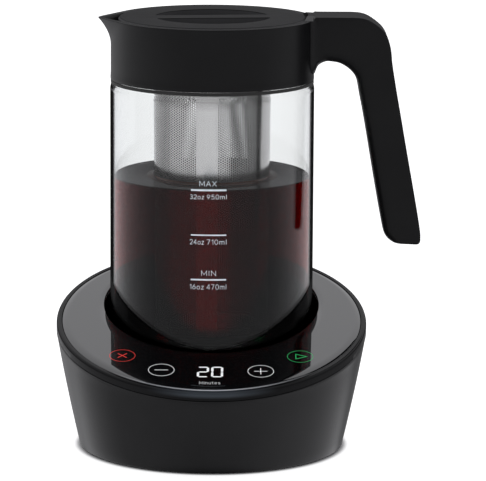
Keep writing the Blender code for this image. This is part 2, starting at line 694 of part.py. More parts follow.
# ================================================================ filter and stirrer
def make_filter():
    ob = turn_piece("filter_neck", [(30.9, 206.5), (36.9, 206.5), (37.5, 207.2), (37.5, 213.7),
                                    (33.9, 213.7), (33.9, 218.4), (30.9, 218.4)],
                    filt, FILTERBLACK)
    bm = bmesh.new()
    for at in (90, 210, 330):                                     # bayonet lugs
        wedge(bm, 32.0, 36.6, 8.0, 216.3, 218.0, at, 4)
    cut(ob, finish("lug_shapes", bm, filt, FILTERBLACK, cutter=True), 'UNION')

    turn_piece("filter_basket", [(BASKET_R_LOW - MESH_T, BASKET_LOW), (BASKET_R_LOW, BASKET_LOW),
                                 (BASKET_R, BASKET_TOP), (BASKET_R - MESH_T, BASKET_TOP)],
               filt, STEEL)
    turn_piece("filter_base", [(0, 64.0), (1.8, 64.0), (1.8, 60.5), (31.0, 60.5), (32.6, 61.8),
                               (32.6, 64.3), (31.2, 64.3), (31.2, 66.2), (0, 66.2)],
               filt, FILTERBLACK)
    turn_piece("stirrer_pin", [(0, 54.0), (3.0, 54.0), (3.0, 54.8), (1.5, 54.8), (1.5, 63.6),
                               (0, 63.6)], filt, STEEL, n=12)


def make_stirrer():
    ob = turn_piece("stirrer", [(1.8, STIR_Z), (STIR_R - 0.5, STIR_Z), (STIR_R, STIR_Z + 0.5),
                                (STIR_R, 57.3), (STIR_R - 0.5, 57.8), (7.0, 57.8), (6.6, 60.1),
                                (1.8, 60.1)], stir, FILTERBLACK, n=24)
    fins = bmesh.new()
    for k in range(4):
        a = radians(45 + 90 * k)
        pts = [(6.0, -1.0), (22.4, -1.0), (23.0, 0.0), (22.4, 1.0), (6.0, 1.0)]
        loft(fins, [[(x * cos(a) - y * sin(a), JUG_Y + x * sin(a) + y * cos(a), z)
                     for x, y in pts] for z in (57.2, 59.9)])
    cut(ob, finish("fin_shapes", fins, stir, FILTERBLACK, cutter=True), 'UNION')
    holes = bmesh.new()
    for i, a in enumerate((0, 180)):
        c = (14.0 * cos(radians(a)), JUG_Y + 14.0 * sin(radians(a)))
        turned(holes, [(0, 54.0), (4.4, 54.0), (4.4, 59.0), (0, 59.0)], 14, c)
        turn_piece("stirrer_magnet_%d" % (i + 1), [(0, 55.4), (4.1, 55.4), (4.1, 57.6), (0, 57.6)],
                   stir, MAGNET, n=14, centre=c)
    cut(ob, finish("magnet_holes", holes, stir, FILTERBLACK, cutter=True))


make_base()
make_drive()
make_jug()
make_lid()
make_filter()
make_stirrer()
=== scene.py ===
"""Finishes and fine surfaces of the cold brew coffee maker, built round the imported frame.

Shapes are worked out in millimetres about the base's foot circle and moved into the
frame by put(). The jug's axis is vertical, at (0, JY) in those millimetres.
"""

from math import acos, asin, atan, atan2, ceil, cos, degrees, hypot, pi, radians, sin, sqrt, tan

import bmesh
import bpy
import numpy as np
from mathutils import Matrix, Vector


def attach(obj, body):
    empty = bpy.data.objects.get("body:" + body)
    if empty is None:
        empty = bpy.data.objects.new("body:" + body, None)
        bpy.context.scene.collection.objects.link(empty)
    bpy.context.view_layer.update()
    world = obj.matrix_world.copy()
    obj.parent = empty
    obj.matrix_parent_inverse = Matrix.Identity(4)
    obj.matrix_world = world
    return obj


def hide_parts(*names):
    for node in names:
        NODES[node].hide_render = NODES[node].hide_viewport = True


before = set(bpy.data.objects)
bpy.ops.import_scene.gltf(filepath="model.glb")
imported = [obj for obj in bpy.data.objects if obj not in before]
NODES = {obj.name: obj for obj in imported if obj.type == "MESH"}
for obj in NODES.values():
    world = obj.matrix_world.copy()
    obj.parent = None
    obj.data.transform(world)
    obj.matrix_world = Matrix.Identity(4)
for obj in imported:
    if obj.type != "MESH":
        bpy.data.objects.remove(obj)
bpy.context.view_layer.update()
SCENE = bpy.context.scene

# ------------------------------------------------------------------ dimensions, mm
CX, CY = -15.4, 3.45
FOOT_R = 74.8
RIM_A, RIM_B, RIM_Y = 87.8, 89.5, -3.45
Z0, SLOPE = 74.07, 0.2592
TILT = atan(SLOPE)
WALL, BOTTOM, BULGE = 2.4, 0.6, 0.5
BEZEL_H, BEZEL_W, PLATE_T = 4.6, 3.0, 1.8
GAP = 0.3
JY = 15.58
WELL_R, WELL_FLOOR_R, WELL_FLOOR, LIP = 61.3, 59.2, 47.5, 1.6
JUG_R = 57.43                 # collar
GLASS_R, GLASS = 57.75, 2.3
JUG_BOTTOM, JUG_FLOOR = 49.5, 53.5
NECK_R, NECK_TOP = 53.2, 213.2
COLLAR_BOTTOM, COLLAR_TOP = 208.0, 242.6
BORE_R = 51.2
SPOUT_TIP, SPOUT_START = 66.0, 226.0
LID_R, LID_TOP = 53.1, 243.05
PLUG_R, PLUG_BOTTOM, PLUG_TOP = 50.2, 214.0, 238.6
RECESS_R, RECESS_FLOOR, BAR, BAR_TURN = 32.5, 230.0, 13.4, 5.0
BASKET_R, BASKET_R_LOW = 33.15, 32.2
BASKET_TOP, BASKET_LOW = 206.2, 64.6
HANDLE_TOP, HANDLE_W, HANDLE_W_TIP = 244.4, 27.6, 19.0
LEVEL = 152.4                 # top of the coffee
SCREW_R = 66.8
SCREW_ANGLES = [radians(a) for a in (38, 142, 218, 322)]
INLET_Z = 17.0
N = 192


def plane_z(y):
    return Z0 + SLOPE * y


# ------------------------------------------------------------------ material nodes
class Nodes:
    """Short hand for building a node tree."""

    def __init__(self, name):
        self.m = bpy.data.materials.new(name)
        self.m.use_nodes = True
        self.t = self.m.node_tree
        self.bsdf = self.t.nodes["Principled BSDF"]
        self.out = self.t.nodes["Material Output"]
        self.coord = self.t.nodes.new("ShaderNodeTexCoord")

    def add(self, kind, **inputs):
        n = self.t.nodes.new(kind)
        for k, v in inputs.items():
            self.set(n, k, v)
        return n

    def set(self, n, key, value):
        if hasattr(n, key) and key not in n.inputs:
            setattr(n, key, value)
            return
        sock = n.inputs[key]
        if isinstance(value, bpy.types.NodeSocket):
            self.t.links.new(value, sock)
        else:
            sock.default_value = value

    def noise(self, scale, detail=3.0, rough=0.5, stretch=None, distortion=0.0):
        n = self.add("ShaderNodeTexNoise")
        n.inputs["Scale"].default_value = scale
        n.inputs["Detail"].default_value = detail
        n.inputs["Roughness"].default_value = rough
        n.inputs["Distortion"].default_value = distortion
        src = self.coord.outputs["Object"]
        if stretch:
            mp = self.add("ShaderNodeMapping")
            mp.inputs["Scale"].default_value = stretch
            self.t.links.new(src, mp.inputs["Vector"])
            src = mp.outputs["Vector"]
        self.t.links.new(src, n.inputs["Vector"])
        return n.outputs["Fac"]

    def voronoi(self, scale, feature="F1", randomness=1.0):
        n = self.add("ShaderNodeTexVoronoi")
        n.feature = feature
        n.inputs["Scale"].default_value = scale
        n.inputs["Randomness"].default_value = randomness
        self.t.links.new(self.coord.outputs["Object"], n.inputs["Vector"])
        return n.outputs["Distance"]

    def ramp(self, fac, *stops):
        n = self.add("ShaderNodeValToRGB")
        cr = n.color_ramp
        while len(cr.elements) < len(stops):
            cr.elements.new(0.5)
        for e, (pos, col) in zip(cr.elements, stops):
            e.position = pos
            e.color = (*col, 1.0) if isinstance(col, (tuple, list)) else (col, col, col, 1.0)
        self.t.links.new(fac, n.inputs["Fac"])
        return n.outputs["Color"]

    def range(self, fac, a, b, lo=0.0, hi=1.0):
        n = self.add("ShaderNodeMapRange")
        n.inputs["From Min"].default_value = lo
        n.inputs["From Max"].default_value = hi
        n.inputs["To Min"].default_value = a
        n.inputs["To Max"].default_value = b
        self.t.links.new(fac, n.inputs["Value"])
        return n.outputs["Result"]

    def math(self, op, a, b=None, clamp=False):
        n = self.add("ShaderNodeMath")
        n.operation = op
        n.use_clamp = clamp
        for i, v in enumerate((a, b)):
            if v is None:
                continue
            if isinstance(v, bpy.types.NodeSocket):
                self.t.links.new(v, n.inputs[i])
            else:
                n.inputs[i].default_value = v
        return n.outputs["Value"]

    def mix(self, fac, a, b):
        n = self.add("ShaderNodeMix")
        n.data_type = "RGBA"
        for sock, v in ((n.inputs["Factor"], fac), (n.inputs[6], a), (n.inputs[7], b)):
            if isinstance(v, bpy.types.NodeSocket):
                self.t.links.new(v, sock)
            elif isinstance(v, (tuple, list)):
                sock.default_value = (*v, 1.0)
            else:
                sock.default_value = v
        return n.outputs[2]

    def bump(self, height, distance, strength=1.0, base=None):
        n = self.add("ShaderNodeBump")
        n.inputs["Strength"].default_value = strength
        n.inputs["Distance"].default_value = distance
        self.t.links.new(height, n.inputs["Height"])
        if base is not None:
            self.t.links.new(base, n.inputs["Normal"])
        return n.outputs["Normal"]

    def shade(self, **inputs):
        for k, v in inputs.items():
            k = k.replace("_", " ")
            sock = self.bsdf.inputs[k]
            if isinstance(v, bpy.types.NodeSocket):
                self.t.links.new(v, sock)
            elif isinstance(v, (tuple, list)) and sock.type == "RGBA":
                sock.default_value = (*v, 1.0)
            else:
                sock.default_value = v
        return self.m


def plastic(name, colour, rough, spec=0.5, grain=1500.0, depth=0.00003, spread=0.06, coat=0.0,
            inner=None):
    """Moulded plastic: fine spark-eroded grain, faint cloudiness in colour and gloss. With inner, a height in
    mm and a colour, the moulding is that colour below that height: painted light, paler in the recesses."""
    n = Nodes(name)
    cloud = n.noise(28.0, 4.0, 0.6)
    fine = n.noise(grain, 2.0, 0.55)
    lo = tuple(c * 0.84 for c in colour)
    hi = tuple(c * 1.18 for c in colour)
    col = n.ramp(cloud, (0.3, lo), (0.7, hi))
    # painted light: a paler colour below the given height
    if inner:
        pos = n.add("ShaderNodeSeparateXYZ")
        n.t.links.new(n.coord.outputs["Object"], pos.inputs[0])
        deep = n.range(pos.outputs["Z"], 1.0, 0.0, (inner[0] - 0.2) * 0.001, inner[0] * 0.001)
        pale = n.ramp(cloud, (0.3, tuple(c * 0.9 for c in inner[1])),
                      (0.7, tuple(c * 1.1 for c in inner[1])))
        col = n.mix(deep, col, pale)
    r = n.math("ADD", n.range(cloud, rough - spread, rough + spread, 0.25, 0.75),
               n.range(fine, -0.02, 0.02), clamp=True)
    nrm = n.bump(fine, depth, 0.6)
    m = n.shade(Base_Color=col, Roughness=r, Normal=nrm, Coat_Weight=coat, Coat_Roughness=0.03)
    n.bsdf.inputs["Specular IOR Level"].default_value = spec
    return m


def gloss(name, colour, rough, spec=0.5, ior=1.5, coat=1.0, edge=None):
    """Polished black: a clear face with the faintest orange peel and a few dust dulls. With edge, a painted
    highlight, a hairline of that colour, follows the sheet's rim at the front."""
    n = Nodes(name)
    wide = n.noise(22.0, 2.0, 0.5)
    smear = n.noise(9.0, 5.0, 0.65, stretch=(1.0, 2.2, 1.0))
    r = n.range(smear, rough * 0.7, rough * 1.6, 0.35, 0.75)
    col = n.ramp(wide, (0.3, tuple(c * 0.9 for c in colour)), (0.7, tuple(c * 1.12 for c in colour)))
    # painted highlight: a pale hairline along the rim at the front
    if edge:
        pos = n.add("ShaderNodeSeparateXYZ")
        n.t.links.new(n.coord.outputs["Object"], pos.inputs[0])
        px = n.math("SUBTRACT", pos.outputs["X"], CX * 0.001)
        py = n.math("SUBTRACT", pos.outputs["Y"], (CY + RIM_Y) * 0.001)
        ex = n.math("POWER", n.math("DIVIDE", px, (RIM_A - BEZEL_W - GAP) * 0.001), 2.0)
        ey = n.math("POWER", n.math("DIVIDE", py, (RIM_B - BEZEL_W - GAP) * 0.001), 2.0)
        out = n.range(n.math("ADD", ex, ey), 0.0, 1.0, 0.973, 0.979)
        near = n.range(n.math("ABSOLUTE", px), 1.0, 0.0, 0.008, 0.056)
        front = n.math("LESS_THAN", py, 0.0)
        col = n.mix(n.math("MULTIPLY", n.math("MULTIPLY", out, near), front, clamp=True), col, edge)
    nrm = n.bump(wide, 0.00002, 0.12)
    m = n.shade(Base_Color=col, Roughness=r, Normal=nrm, Coat_Weight=coat,
                Coat_Roughness=0.015, IOR=ior)
    n.bsdf.inputs["Specular IOR Level"].default_value = spec
    return m


def metal(name, colour, rough, lines=None, wear=0.04, aniso=0.0):
    """Metal with drawn or ground lines along one direction and faint blotches."""
    n = Nodes(name)
    blot = n.noise(40.0, 4.0, 0.6)
    stretch = lines or (1.0, 1.0, 1.0)
    grain = n.noise(900.0, 3.0, 0.6, stretch=stretch)
    col = n.ramp(n.math("MULTIPLY", blot, grain), (0.12, tuple(c * 0.86 for c in colour)),
                 (0.40, colour))
    r = n.math("ADD", n.range(grain, rough - 0.06, rough + 0.08, 0.3, 0.7),
               n.range(blot, -wear, wear, 0.3, 0.7), clamp=True)
    nrm = n.bump(grain, 0.00001, 0.35)
    m = n.shade(Base_Color=col, Roughness=r, Normal=nrm, Metallic=1.0)
    n.bsdf.inputs["Anisotropic"].default_value = aniso
    return m


def rubbery(name, colour, rough):
    n = Nodes(name)
    cloud = n.noise(60.0, 4.0, 0.6)
    pores = n.voronoi(1400.0)
    col = n.ramp(cloud, (0.3, tuple(c * 0.8 for c in colour)), (0.7, tuple(c * 1.25 for c in colour)))
    r = n.range(cloud, rough - 0.08, min(1.0, rough + 0.08), 0.3, 0.7)
    m = n.shade(Base_Color=col, Roughness=r, Normal=n.bump(pores, 0.00004, 0.5))
    n.bsdf.inputs["Specular IOR Level"].default_value = 0.35
    n.bsdf.inputs["Sheen Weight"].default_value = 0.08
    return m


def lit(name, colour, glow):
    """Print that glows: back-lit on the panel, painted light on the jug's marks. The light is a little uneven
    along a stroke.
    """
    n = Nodes(name)
    spot = n.noise(420.0, 2.0, 0.5)
    col = n.ramp(spot, (0.3, tuple(c * 0.82 for c in colour)), (0.7, colour))
    n.shade(Base_Color=col, Roughness=0.45, Emission_Color=col)
    n.bsdf.inputs["Emission Strength"].default_value = glow
    return n.m


SATIN = plastic("satin_black", (0.0062, 0.0062, 0.0067), 0.31, spec=0.20, spread=0.03)
HOUSINGM = plastic("satin_black_housing", (0.0062, 0.0062, 0.0067), 0.24, spec=0.5, spread=0.02)
GRIPM = plastic("grip_black", (0.010, 0.010, 0.0108), 0.52, spec=0.25, grain=1100.0)
LIDM = plastic("lid_black", (0.012, 0.012, 0.0128), 0.58, spec=0.20, grain=1200.0, depth=0.00004)
# below its top face the dial is paler: painted light in the finger recesses
DIALM = plastic("lid_black_dial", (0.012, 0.012, 0.0128), 0.58, spec=0.20, grain=1200.0,
                depth=0.00004, inner=(242.75, (0.088, 0.088, 0.091)))
FILTERM = plastic("filter_black", (0.016, 0.016, 0.017), 0.46, spec=0.4)
# the edge colour is a painted highlight along the plate's front rim
PANELM = gloss("panel_gloss", (0.0035, 0.0036, 0.0042), 0.03, spec=0.5, edge=(0.74, 0.76, 0.80))
LINER = gloss("liner_black", (0.0035, 0.0036, 0.0042), 0.04, spec=0.5)
SILICONE = rubbery("silicone", (0.085, 0.085, 0.09), 0.62)
RUBBER = rubbery("rubber", (0.022, 0.022, 0.022), 0.78)
ZINC = metal("zinc_steel", (0.55, 0.56, 0.58), 0.34, (1.0, 1.0, 12.0), 0.08)
BRIGHT = metal("stainless_bright", (0.68, 0.67, 0.65), 0.22, (1.0, 1.0, 14.0))
NICKEL = metal("magnet_nickel", (0.68, 0.66, 0.62), 0.14, None, 0.03)
NYLON = plastic("white_plastic", (0.72, 0.72, 0.70), 0.45, spec=0.5, grain=700.0)
BLACKCOMP = plastic("component_black", (0.018, 0.018, 0.018), 0.5, spec=0.45, grain=2600.0)
WIREM = plastic("lead_insulation", (0.03, 0.03, 0.033), 0.48, spec=0.5, grain=600.0)


def bezel_material():
    """Polished trim ring: black, with a painted highlight on its outer face at the front, a smoky blue-grey
    that fades out towards the lower edge."""
    n = Nodes("gloss_black")
    wide = n.noise(22.0, 2.0, 0.5)
    pos = n.add("ShaderNodeSeparateXYZ")
    n.t.links.new(n.coord.outputs["Object"], pos.inputs[0])
    drop = n.math("SUBTRACT", pos.outputs["Z"], n.math("ADD", n.math(
        "MULTIPLY", n.math("SUBTRACT", pos.outputs["Y"], CY * 0.001), SLOPE), Z0 * 0.001))
    high = n.range(drop, 0.0, 1.0, -0.0033, -0.0016)
    front = n.range(pos.outputs["Y"], 1.0, 0.0, (CY - 90.0) * 0.001, (CY - 60.0) * 0.001)
    col = n.ramp(wide, (0.3, (0.0036, 0.0036, 0.004)), (0.7, (0.0046, 0.0046, 0.0052)))
    side = n.range(n.math("ABSOLUTE", n.math("SUBTRACT", pos.outputs["X"], CX * 0.001)),
                   1.0, 0.0, 0.010, 0.036)
    # painted highlight: blue-grey on the front of the outer face, fading towards the lower edge and the sides
    painted_highlight = n.mix(n.math("MULTIPLY", n.math("MULTIPLY", high, front), side, clamp=True), col,
                  (0.044, 0.052, 0.062))
    r = n.range(n.noise(9.0, 5.0, 0.65, stretch=(1.0, 2.2, 1.0)), 0.14, 0.24, 0.35, 0.75)
    m = n.shade(Base_Color=painted_highlight, Roughness=r, Normal=n.bump(wide, 0.00002, 0.12))
    n.bsdf.inputs["Specular IOR Level"].default_value = 0.16
    return m


BEZELM = bezel_material()


def mesh_steel():
    """Perforated stainless sheet: fine vertical draw lines and faint vertical tint
    bands left by rolling."""
    n = Nodes("stainless_mesh")
    band = n.noise(46.0, 3.0, 0.55, stretch=(1.0, 1.0, 0.02))
    line = n.noise(1600.0, 3.0, 0.6, stretch=(1.0, 1.0, 0.03))
    col = n.ramp(band, (0.30, (0.72, 0.705, 0.69)), (0.70, (0.84, 0.825, 0.81)))
    r = n.math("ADD", n.range(line, 0.16, 0.22, 0.3, 0.7), n.range(band, -0.015, 0.015, 0.3, 0.7),
               clamp=True)
    # the inner skin and the walls of the holes are dark: painted shade, so that the holes read dark
    pos, nrm = n.add("ShaderNodeSeparateXYZ"), n.add("ShaderNodeSeparateXYZ")
    n.t.links.new(n.coord.outputs["Object"], pos.inputs[0])
    n.t.links.new(n.coord.outputs["Normal"], nrm.inputs[0])
    px = n.math("DIVIDE", n.math("SUBTRACT", pos.outputs["X"], CX * 0.001), BASKET_R * 0.001)
    py = n.math("DIVIDE", n.math("SUBTRACT", pos.outputs["Y"], (CY + JY) * 0.001), BASKET_R * 0.001)
    out = n.math("ADD", n.math("MULTIPLY", px, nrm.outputs["X"]),
                 n.math("MULTIPLY", py, nrm.outputs["Y"]))
    # towards the neck the steel is darker: painted shade, standing in for the shade cast under the collar
    col = n.mix(n.range(pos.outputs["Z"], 0.0, 0.68, 0.1935, 0.2030), col, (0.20, 0.19, 0.18))
    col = n.mix(n.range(out, 0.0, 1.0, 0.3, 0.7), (0.030, 0.027, 0.025), col)
    return n.shade(Base_Color=col, Roughness=r, Metallic=1.0)


MESHM = mesh_steel()


def glass_material():
    n = Nodes("jug_glass")
    wave = n.noise(14.0, 2.0, 0.5, stretch=(1.0, 1.0, 0.35))
    col = n.ramp(wave, (0.3, (0.965, 0.98, 0.985)), (0.7, (0.985, 0.992, 0.995)))
    n.shade(Base_Color=col, Roughness=0.0, Transmission_Weight=1.0, IOR=1.47,
            Normal=n.bump(wave, 0.00003, 0.10))
    n.bsdf.inputs["Specular IOR Level"].default_value = 0.5
    return n.m


GLASSM = glass_material()


def coffee_material():
    """Filtered cold brew: clear, but deep enough to look black-brown; red only where
    the light's path through it is short. Its top face mirrors faintly."""
    n = Nodes("coffee")
    drift = n.noise(30.0, 3.0, 0.5, stretch=(1.0, 1.0, 0.3))
    col = n.ramp(drift, (0.3, (0.94, 0.90, 0.89)), (0.7, (1.0, 0.98, 0.97)))
    geo = n.add("ShaderNodeNewGeometry")
    nz = n.add("ShaderNodeSeparateXYZ")
    n.t.links.new(geo.outputs["Normal"], nz.inputs[0])
    n.shade(Base_Color=col, Roughness=0.0, Transmission_Weight=1.0, IOR=1.0,
            Coat_Weight=n.range(nz.outputs["Z"], 0.0, 0.96, 0.25, 0.75), Coat_Roughness=0.0,
            Coat_IOR=1.33)
    vol = n.add("ShaderNodeVolumeAbsorption")
    vol.inputs["Color"].default_value = (0.715, 0.20, 0.15, 1.0)
    vol.inputs["Density"].default_value = 200.0
    n.t.links.new(vol.outputs["Volume"], n.out.inputs["Volume"])
    return n.m


COFFEE = coffee_material()
COFFEE_TOP = gloss("coffee_top", (0.020, 0.010, 0.007), 0.03, spec=0.25, ior=1.33, coat=0.0)
COFFEE_RIM = gloss("coffee_rim", (0.105, 0.045, 0.030), 0.06, spec=0.25, ior=1.33, coat=0.0)
# the volume marks on the glass glow too: painted light, as they are print and no lamp
PRINT = lit("mark_print", (0.68, 0.75, 0.82), 0.21)
LIT_WHITE = lit("icon_white", (0.85, 0.87, 0.88), 0.72)
LIT_DIM = lit("word_white", (0.80, 0.82, 0.84), 0.34)
LIT_RED = lit("icon_red", (0.55, 0.028, 0.022), 0.9)
LIT_GREEN = lit("icon_green", (0.012, 0.30, 0.08), 0.9)


def board_material():
    """Solder mask over copper tracks, with the tracks showing as paler lines."""
    n = Nodes("circuit_board")
    br = n.add("ShaderNodeTexBrick")
    br.inputs["Scale"].default_value = 260.0
    br.inputs["Mortar Size"].default_value = 0.06
    br.inputs["Color1"].default_value = (0.010, 0.115, 0.045, 1)
    br.inputs["Color2"].default_value = (0.012, 0.135, 0.052, 1)
    br.inputs["Mortar"].default_value = (0.035, 0.24, 0.10, 1)
    n.t.links.new(n.coord.outputs["Object"], br.inputs["Vector"])
    r = n.range(n.noise(200.0, 3.0), 0.32, 0.48, 0.3, 0.7)
    return n.shade(Base_Color=br.outputs["Color"], Roughness=r,
                   Normal=n.bump(br.outputs["Fac"], 0.00003, 0.5))


BOARDM = board_material()


def display_material():
    n = Nodes("display_dark")
    r = n.range(n.noise(80.0, 3.0), 0.16, 0.26, 0.3, 0.7)
    col = n.ramp(n.noise(300.0, 2.0), (0.3, (0.02, 0.02, 0.024)), (0.7, (0.032, 0.032, 0.038)))
    return n.shade(Base_Color=col, Roughness=r, Coat_Weight=0.5)


DISPLAYM = display_material()


# ------------------------------------------------------------------ mesh tools
class Shape:
    """Points and faces in millimetres, gathered loop by loop."""

    def __init__(self):
        self.v, self.f = [], []

    def loft(self, loops, ring=False, cap=True):
        base, n = len(self.v), len(loops[0])
        for lp in loops:
            assert len(lp) == n
            self.v.extend([tuple(p) for p in lp])
        rows = len(loops)
        for i in range(rows if ring else rows - 1):
            a, b = base + i * n, base + ((i + 1) % rows) * n
            for j in range(n):
                k = (j + 1) % n
                self.f.append((a + j, a + k, b + k, b + j))
        if cap and not ring:
            for row, flip in ((0, True), (rows - 1, False)):
                lp = loops[row]
                c = tuple(sum(p[q] for p in lp) / n for q in range(3))
                self.v.append(c)
                o, ci = base + row * n, len(self.v) - 1
                for j in range(n):
                    k = (j + 1) % n
                    self.f.append((o + k, o + j, ci) if flip else (o + j, o + k, ci))
        return self

    def flat_cap_loft(self, loops):
        """Loft closed with flat polygons, for outlines that aren't star-shaped."""
        base, n = len(self.v), len(loops[0])
        self.loft(loops, cap=False)
        self.f.append(tuple(base + j for j in reversed(range(n))))
        last = base + (len(loops) - 1) * n
        self.f.append(tuple(last + j for j in range(n)))
        return self


def circle(n):
    return [2 * pi * i / n for i in range(n)]


def soften(profile, r=0.3, seg=3, closed=True):
    """Round every corner of an outline by up to r."""
    n, out = len(profile), []
    for i, p in enumerate(profile):
        if not closed and i in (0, n - 1):
            out.append(tuple(p))
            continue
        p = Vector(p[:2])
        a, b = Vector(profile[i - 1][:2]), Vector(profile[(i + 1) % n][:2])
        da, db = a - p, b - p
        la, lb = da.length, db.length
        if la < 1e-6 or lb < 1e-6:
            continue
        da, db = da / la, db / lb
        turn = da.angle(db)
        rr = profile[i][2] if len(profile[i]) > 2 else r
        if rr <= 0 or turn > pi - 0.05:
            out.append((p.x, p.y))
            continue
        t = min(rr / tan(turn / 2), la * 0.46, lb * 0.46)
        rr = t * tan(turn / 2)
        mid = (da + db).normalized() * (rr / sin(turn / 2))
        c = p + mid
        s, e = p + da * t - c, p + db * t - c
        sweep = s.angle(e) if s.length > 1e-9 and e.length > 1e-9 else 0.0
        sign = 1.0 if s.x * e.y - s.y * e.x > 0 else -1.0
        steps = max(2, ceil(seg * sweep / (pi / 2)) + 1)
        for k in range(steps + 1):
            ang = sign * sweep * k / steps
            out.append((c.x + s.x * cos(ang) - s.y * sin(ang),
                        c.y + s.x * sin(ang) + s.y * cos(ang)))
    return out


def turned(shape, profile, n=N, centre=(0.0, JY), r=0.3, seg=3, soft=True):
    """Turn an (r, z) outline. Where it starts and ends at r = 0 it closes on the axis."""
    solid = profile[0][0] == 0 and profile[-1][0] == 0
    if soft:
        profile = soften(profile, r, seg, closed=not solid)
    pts = profile[1:-1] if solid else profile
    loops = [[(centre[0] + q[0] * cos(t), centre[1] + q[0] * sin(t), q[1]) for t in circle(n)]
             for q in pts]
    shape.loft(loops, ring=not solid, cap=solid)
    return shape


def put(name, shape, mats, sharp=32.0, recalc=True, keep_mm=False):
    """Make an object of a Shape, in metres in the frame."""
    if not isinstance(mats, (list, tuple)):
        mats = [mats]
    me = bpy.data.meshes.new(name)
    off = (0.0, 0.0, 0.0) if keep_mm else (CX, CY, 0.0)
    co = (np.array(shape.v, float).reshape(-1, 3) + np.array(off)) * 0.001
    me.from_pydata([tuple(p) for p in co.tolist()], [], shape.f)
    if recalc:
        bm = bmesh.new()
        bm.from_mesh(me)
        bmesh.ops.recalc_face_normals(bm, faces=bm.faces)
        bm.to_mesh(me)
        bm.free()
    for m in mats:
        me.materials.append(m)
    me.shade_smooth()
    if sharp is not None:
        me.set_sharp_from_angle(angle=radians(sharp))
    ob = bpy.data.objects.new(name, me)
    SCENE.collection.objects.link(ob)
    return ob


def cut(ob, *tools, op="DIFFERENCE", sharp=32.0):
    """Apply Booleans and drop the tools."""
    for tool in tools:
        m = ob.modifiers.new("b", "BOOLEAN")
        m.operation = op
        m.solver = "EXACT"
        m.object = tool
        dg = bpy.context.evaluated_depsgraph_get()
        me = bpy.data.meshes.new_from_object(ob.evaluated_get(dg))
        ob.modifiers.clear()
        old = ob.data
        ob.data = me
        bpy.data.meshes.remove(old)
        bpy.data.objects.remove(tool)
    ob.data.shade_smooth()
    ob.data.set_sharp_from_angle(angle=radians(sharp))
    return ob


def join(*obs):
    """Add one copy of a union of separate closed bodies that don't touch."""
    bm = bmesh.new()
    for o in obs:
        bm.from_mesh(o.data)
    me = obs[0].data
    bm.to_mesh(me)
    bm.free()
    for o in obs[1:]:
        bpy.data.objects.remove(o)
    return obs[0]


def settle(ob, body, slot=None, *nodes):
    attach(ob, body)
    if nodes:
        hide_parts(*nodes)
    return ob


def turn_piece(name, profile, body, mat, slot, nodes=(), n=N, centre=(0.0, JY), r=0.3, seg=3,
               sharp=32.0):
    ob = put(name, turned(Shape(), profile, n, centre, r, seg), mat, sharp)
    return settle(ob, body, slot, *nodes)


def tool(shape, keep=True):
    return put("tool", shape, [], sharp=None)


# loops that follow the sloping rim
def rim(inset, dz, n=N):
    out = []
    for t in circle(n):
        x, y = (RIM_A - inset) * cos(t), RIM_Y + (RIM_B - inset) * sin(t)
        out.append((x, y, plane_z(y) + dz))
    return out


def well(r, dz, limit=None, n=N):
    out = []
    for t in circle(n):
        rr = r
        if limit is not None:
            a, b = RIM_A - limit, RIM_B - limit
            c, s, d = cos(t), sin(t), JY - RIM_Y
            qa = (c / a) ** 2 + (s / b) ** 2
            qb = 2 * d * s / b ** 2
            qc = (d / b) ** 2 - 1
            rr = min(r, (-qb + sqrt(qb * qb - 4 * qa * qc)) / (2 * qa))
        x, y = rr * cos(t), JY + rr * sin(t)
        out.append((x, y, plane_z(y) + dz))
    return out


def level(r, z, y=0.0, n=N):
    return [(r * cos(t), y + r * sin(t), z) for t in circle(n)]


def wall_point(t, z, inset=0.0, drop=BEZEL_H + GAP):
    x1, y1 = RIM_A * cos(t), RIM_Y + RIM_B * sin(t)
    z1 = plane_z(y1) - drop
    f = (z - BOTTOM) / (z1 - BOTTOM)
    r0 = Vector((FOOT_R * cos(t), FOOT_R * sin(t)))
    swell = BULGE * 4 * f * (1 - f) - inset
    p = r0 + (Vector((x1, y1)) - r0) * f + Vector((cos(t), sin(t))) * swell
    return (p.x, p.y, z)


def wall_share(t, f, inset=0.0):
    """A point of the side wall, f of the way from the foot to the rim."""
    y1 = RIM_Y + RIM_B * sin(t)
    z1 = plane_z(y1) - BEZEL_H - GAP
    return wall_point(t, BOTTOM + (z1 - BOTTOM) * f, inset)


# ================================================================== camera and stage
def make_camera():
    """The photograph's standpoint: two metres off, 10.7 degrees above the table."""
    pitch, yaw, roll = 0.1864, 0.0146, 0.0057
    fwd = Vector((sin(yaw) * cos(pitch), cos(yaw) * cos(pitch), -sin(pitch)))
    right = Vector((cos(yaw), -sin(yaw), 0.0))
    up = right.cross(fwd)
    r2 = right * cos(roll) + up * sin(roll)
    u2 = up * cos(roll) - right * sin(roll)
    cam = bpy.data.cameras.new("camera")
    cam.sensor_width = 36.0
    cam.lens = 3790.5 * 36.0 / 486.0
    cam.clip_start, cam.clip_end = 0.05, 60.0
    ob = bpy.data.objects.new("camera", cam)
    SCENE.collection.objects.link(ob)
    ob.matrix_world = Matrix((
        (r2.x, u2.x, -fwd.x, (-12.33 + CX - 0.8) * 0.001),
        (r2.y, u2.y, -fwd.y, (-2108.7 + CY) * 0.001),
        (r2.z, u2.z, -fwd.z, 0.5151),
        (0, 0, 0, 1)))
    SCENE.camera = ob


FLOOR_GLOW = 0.80


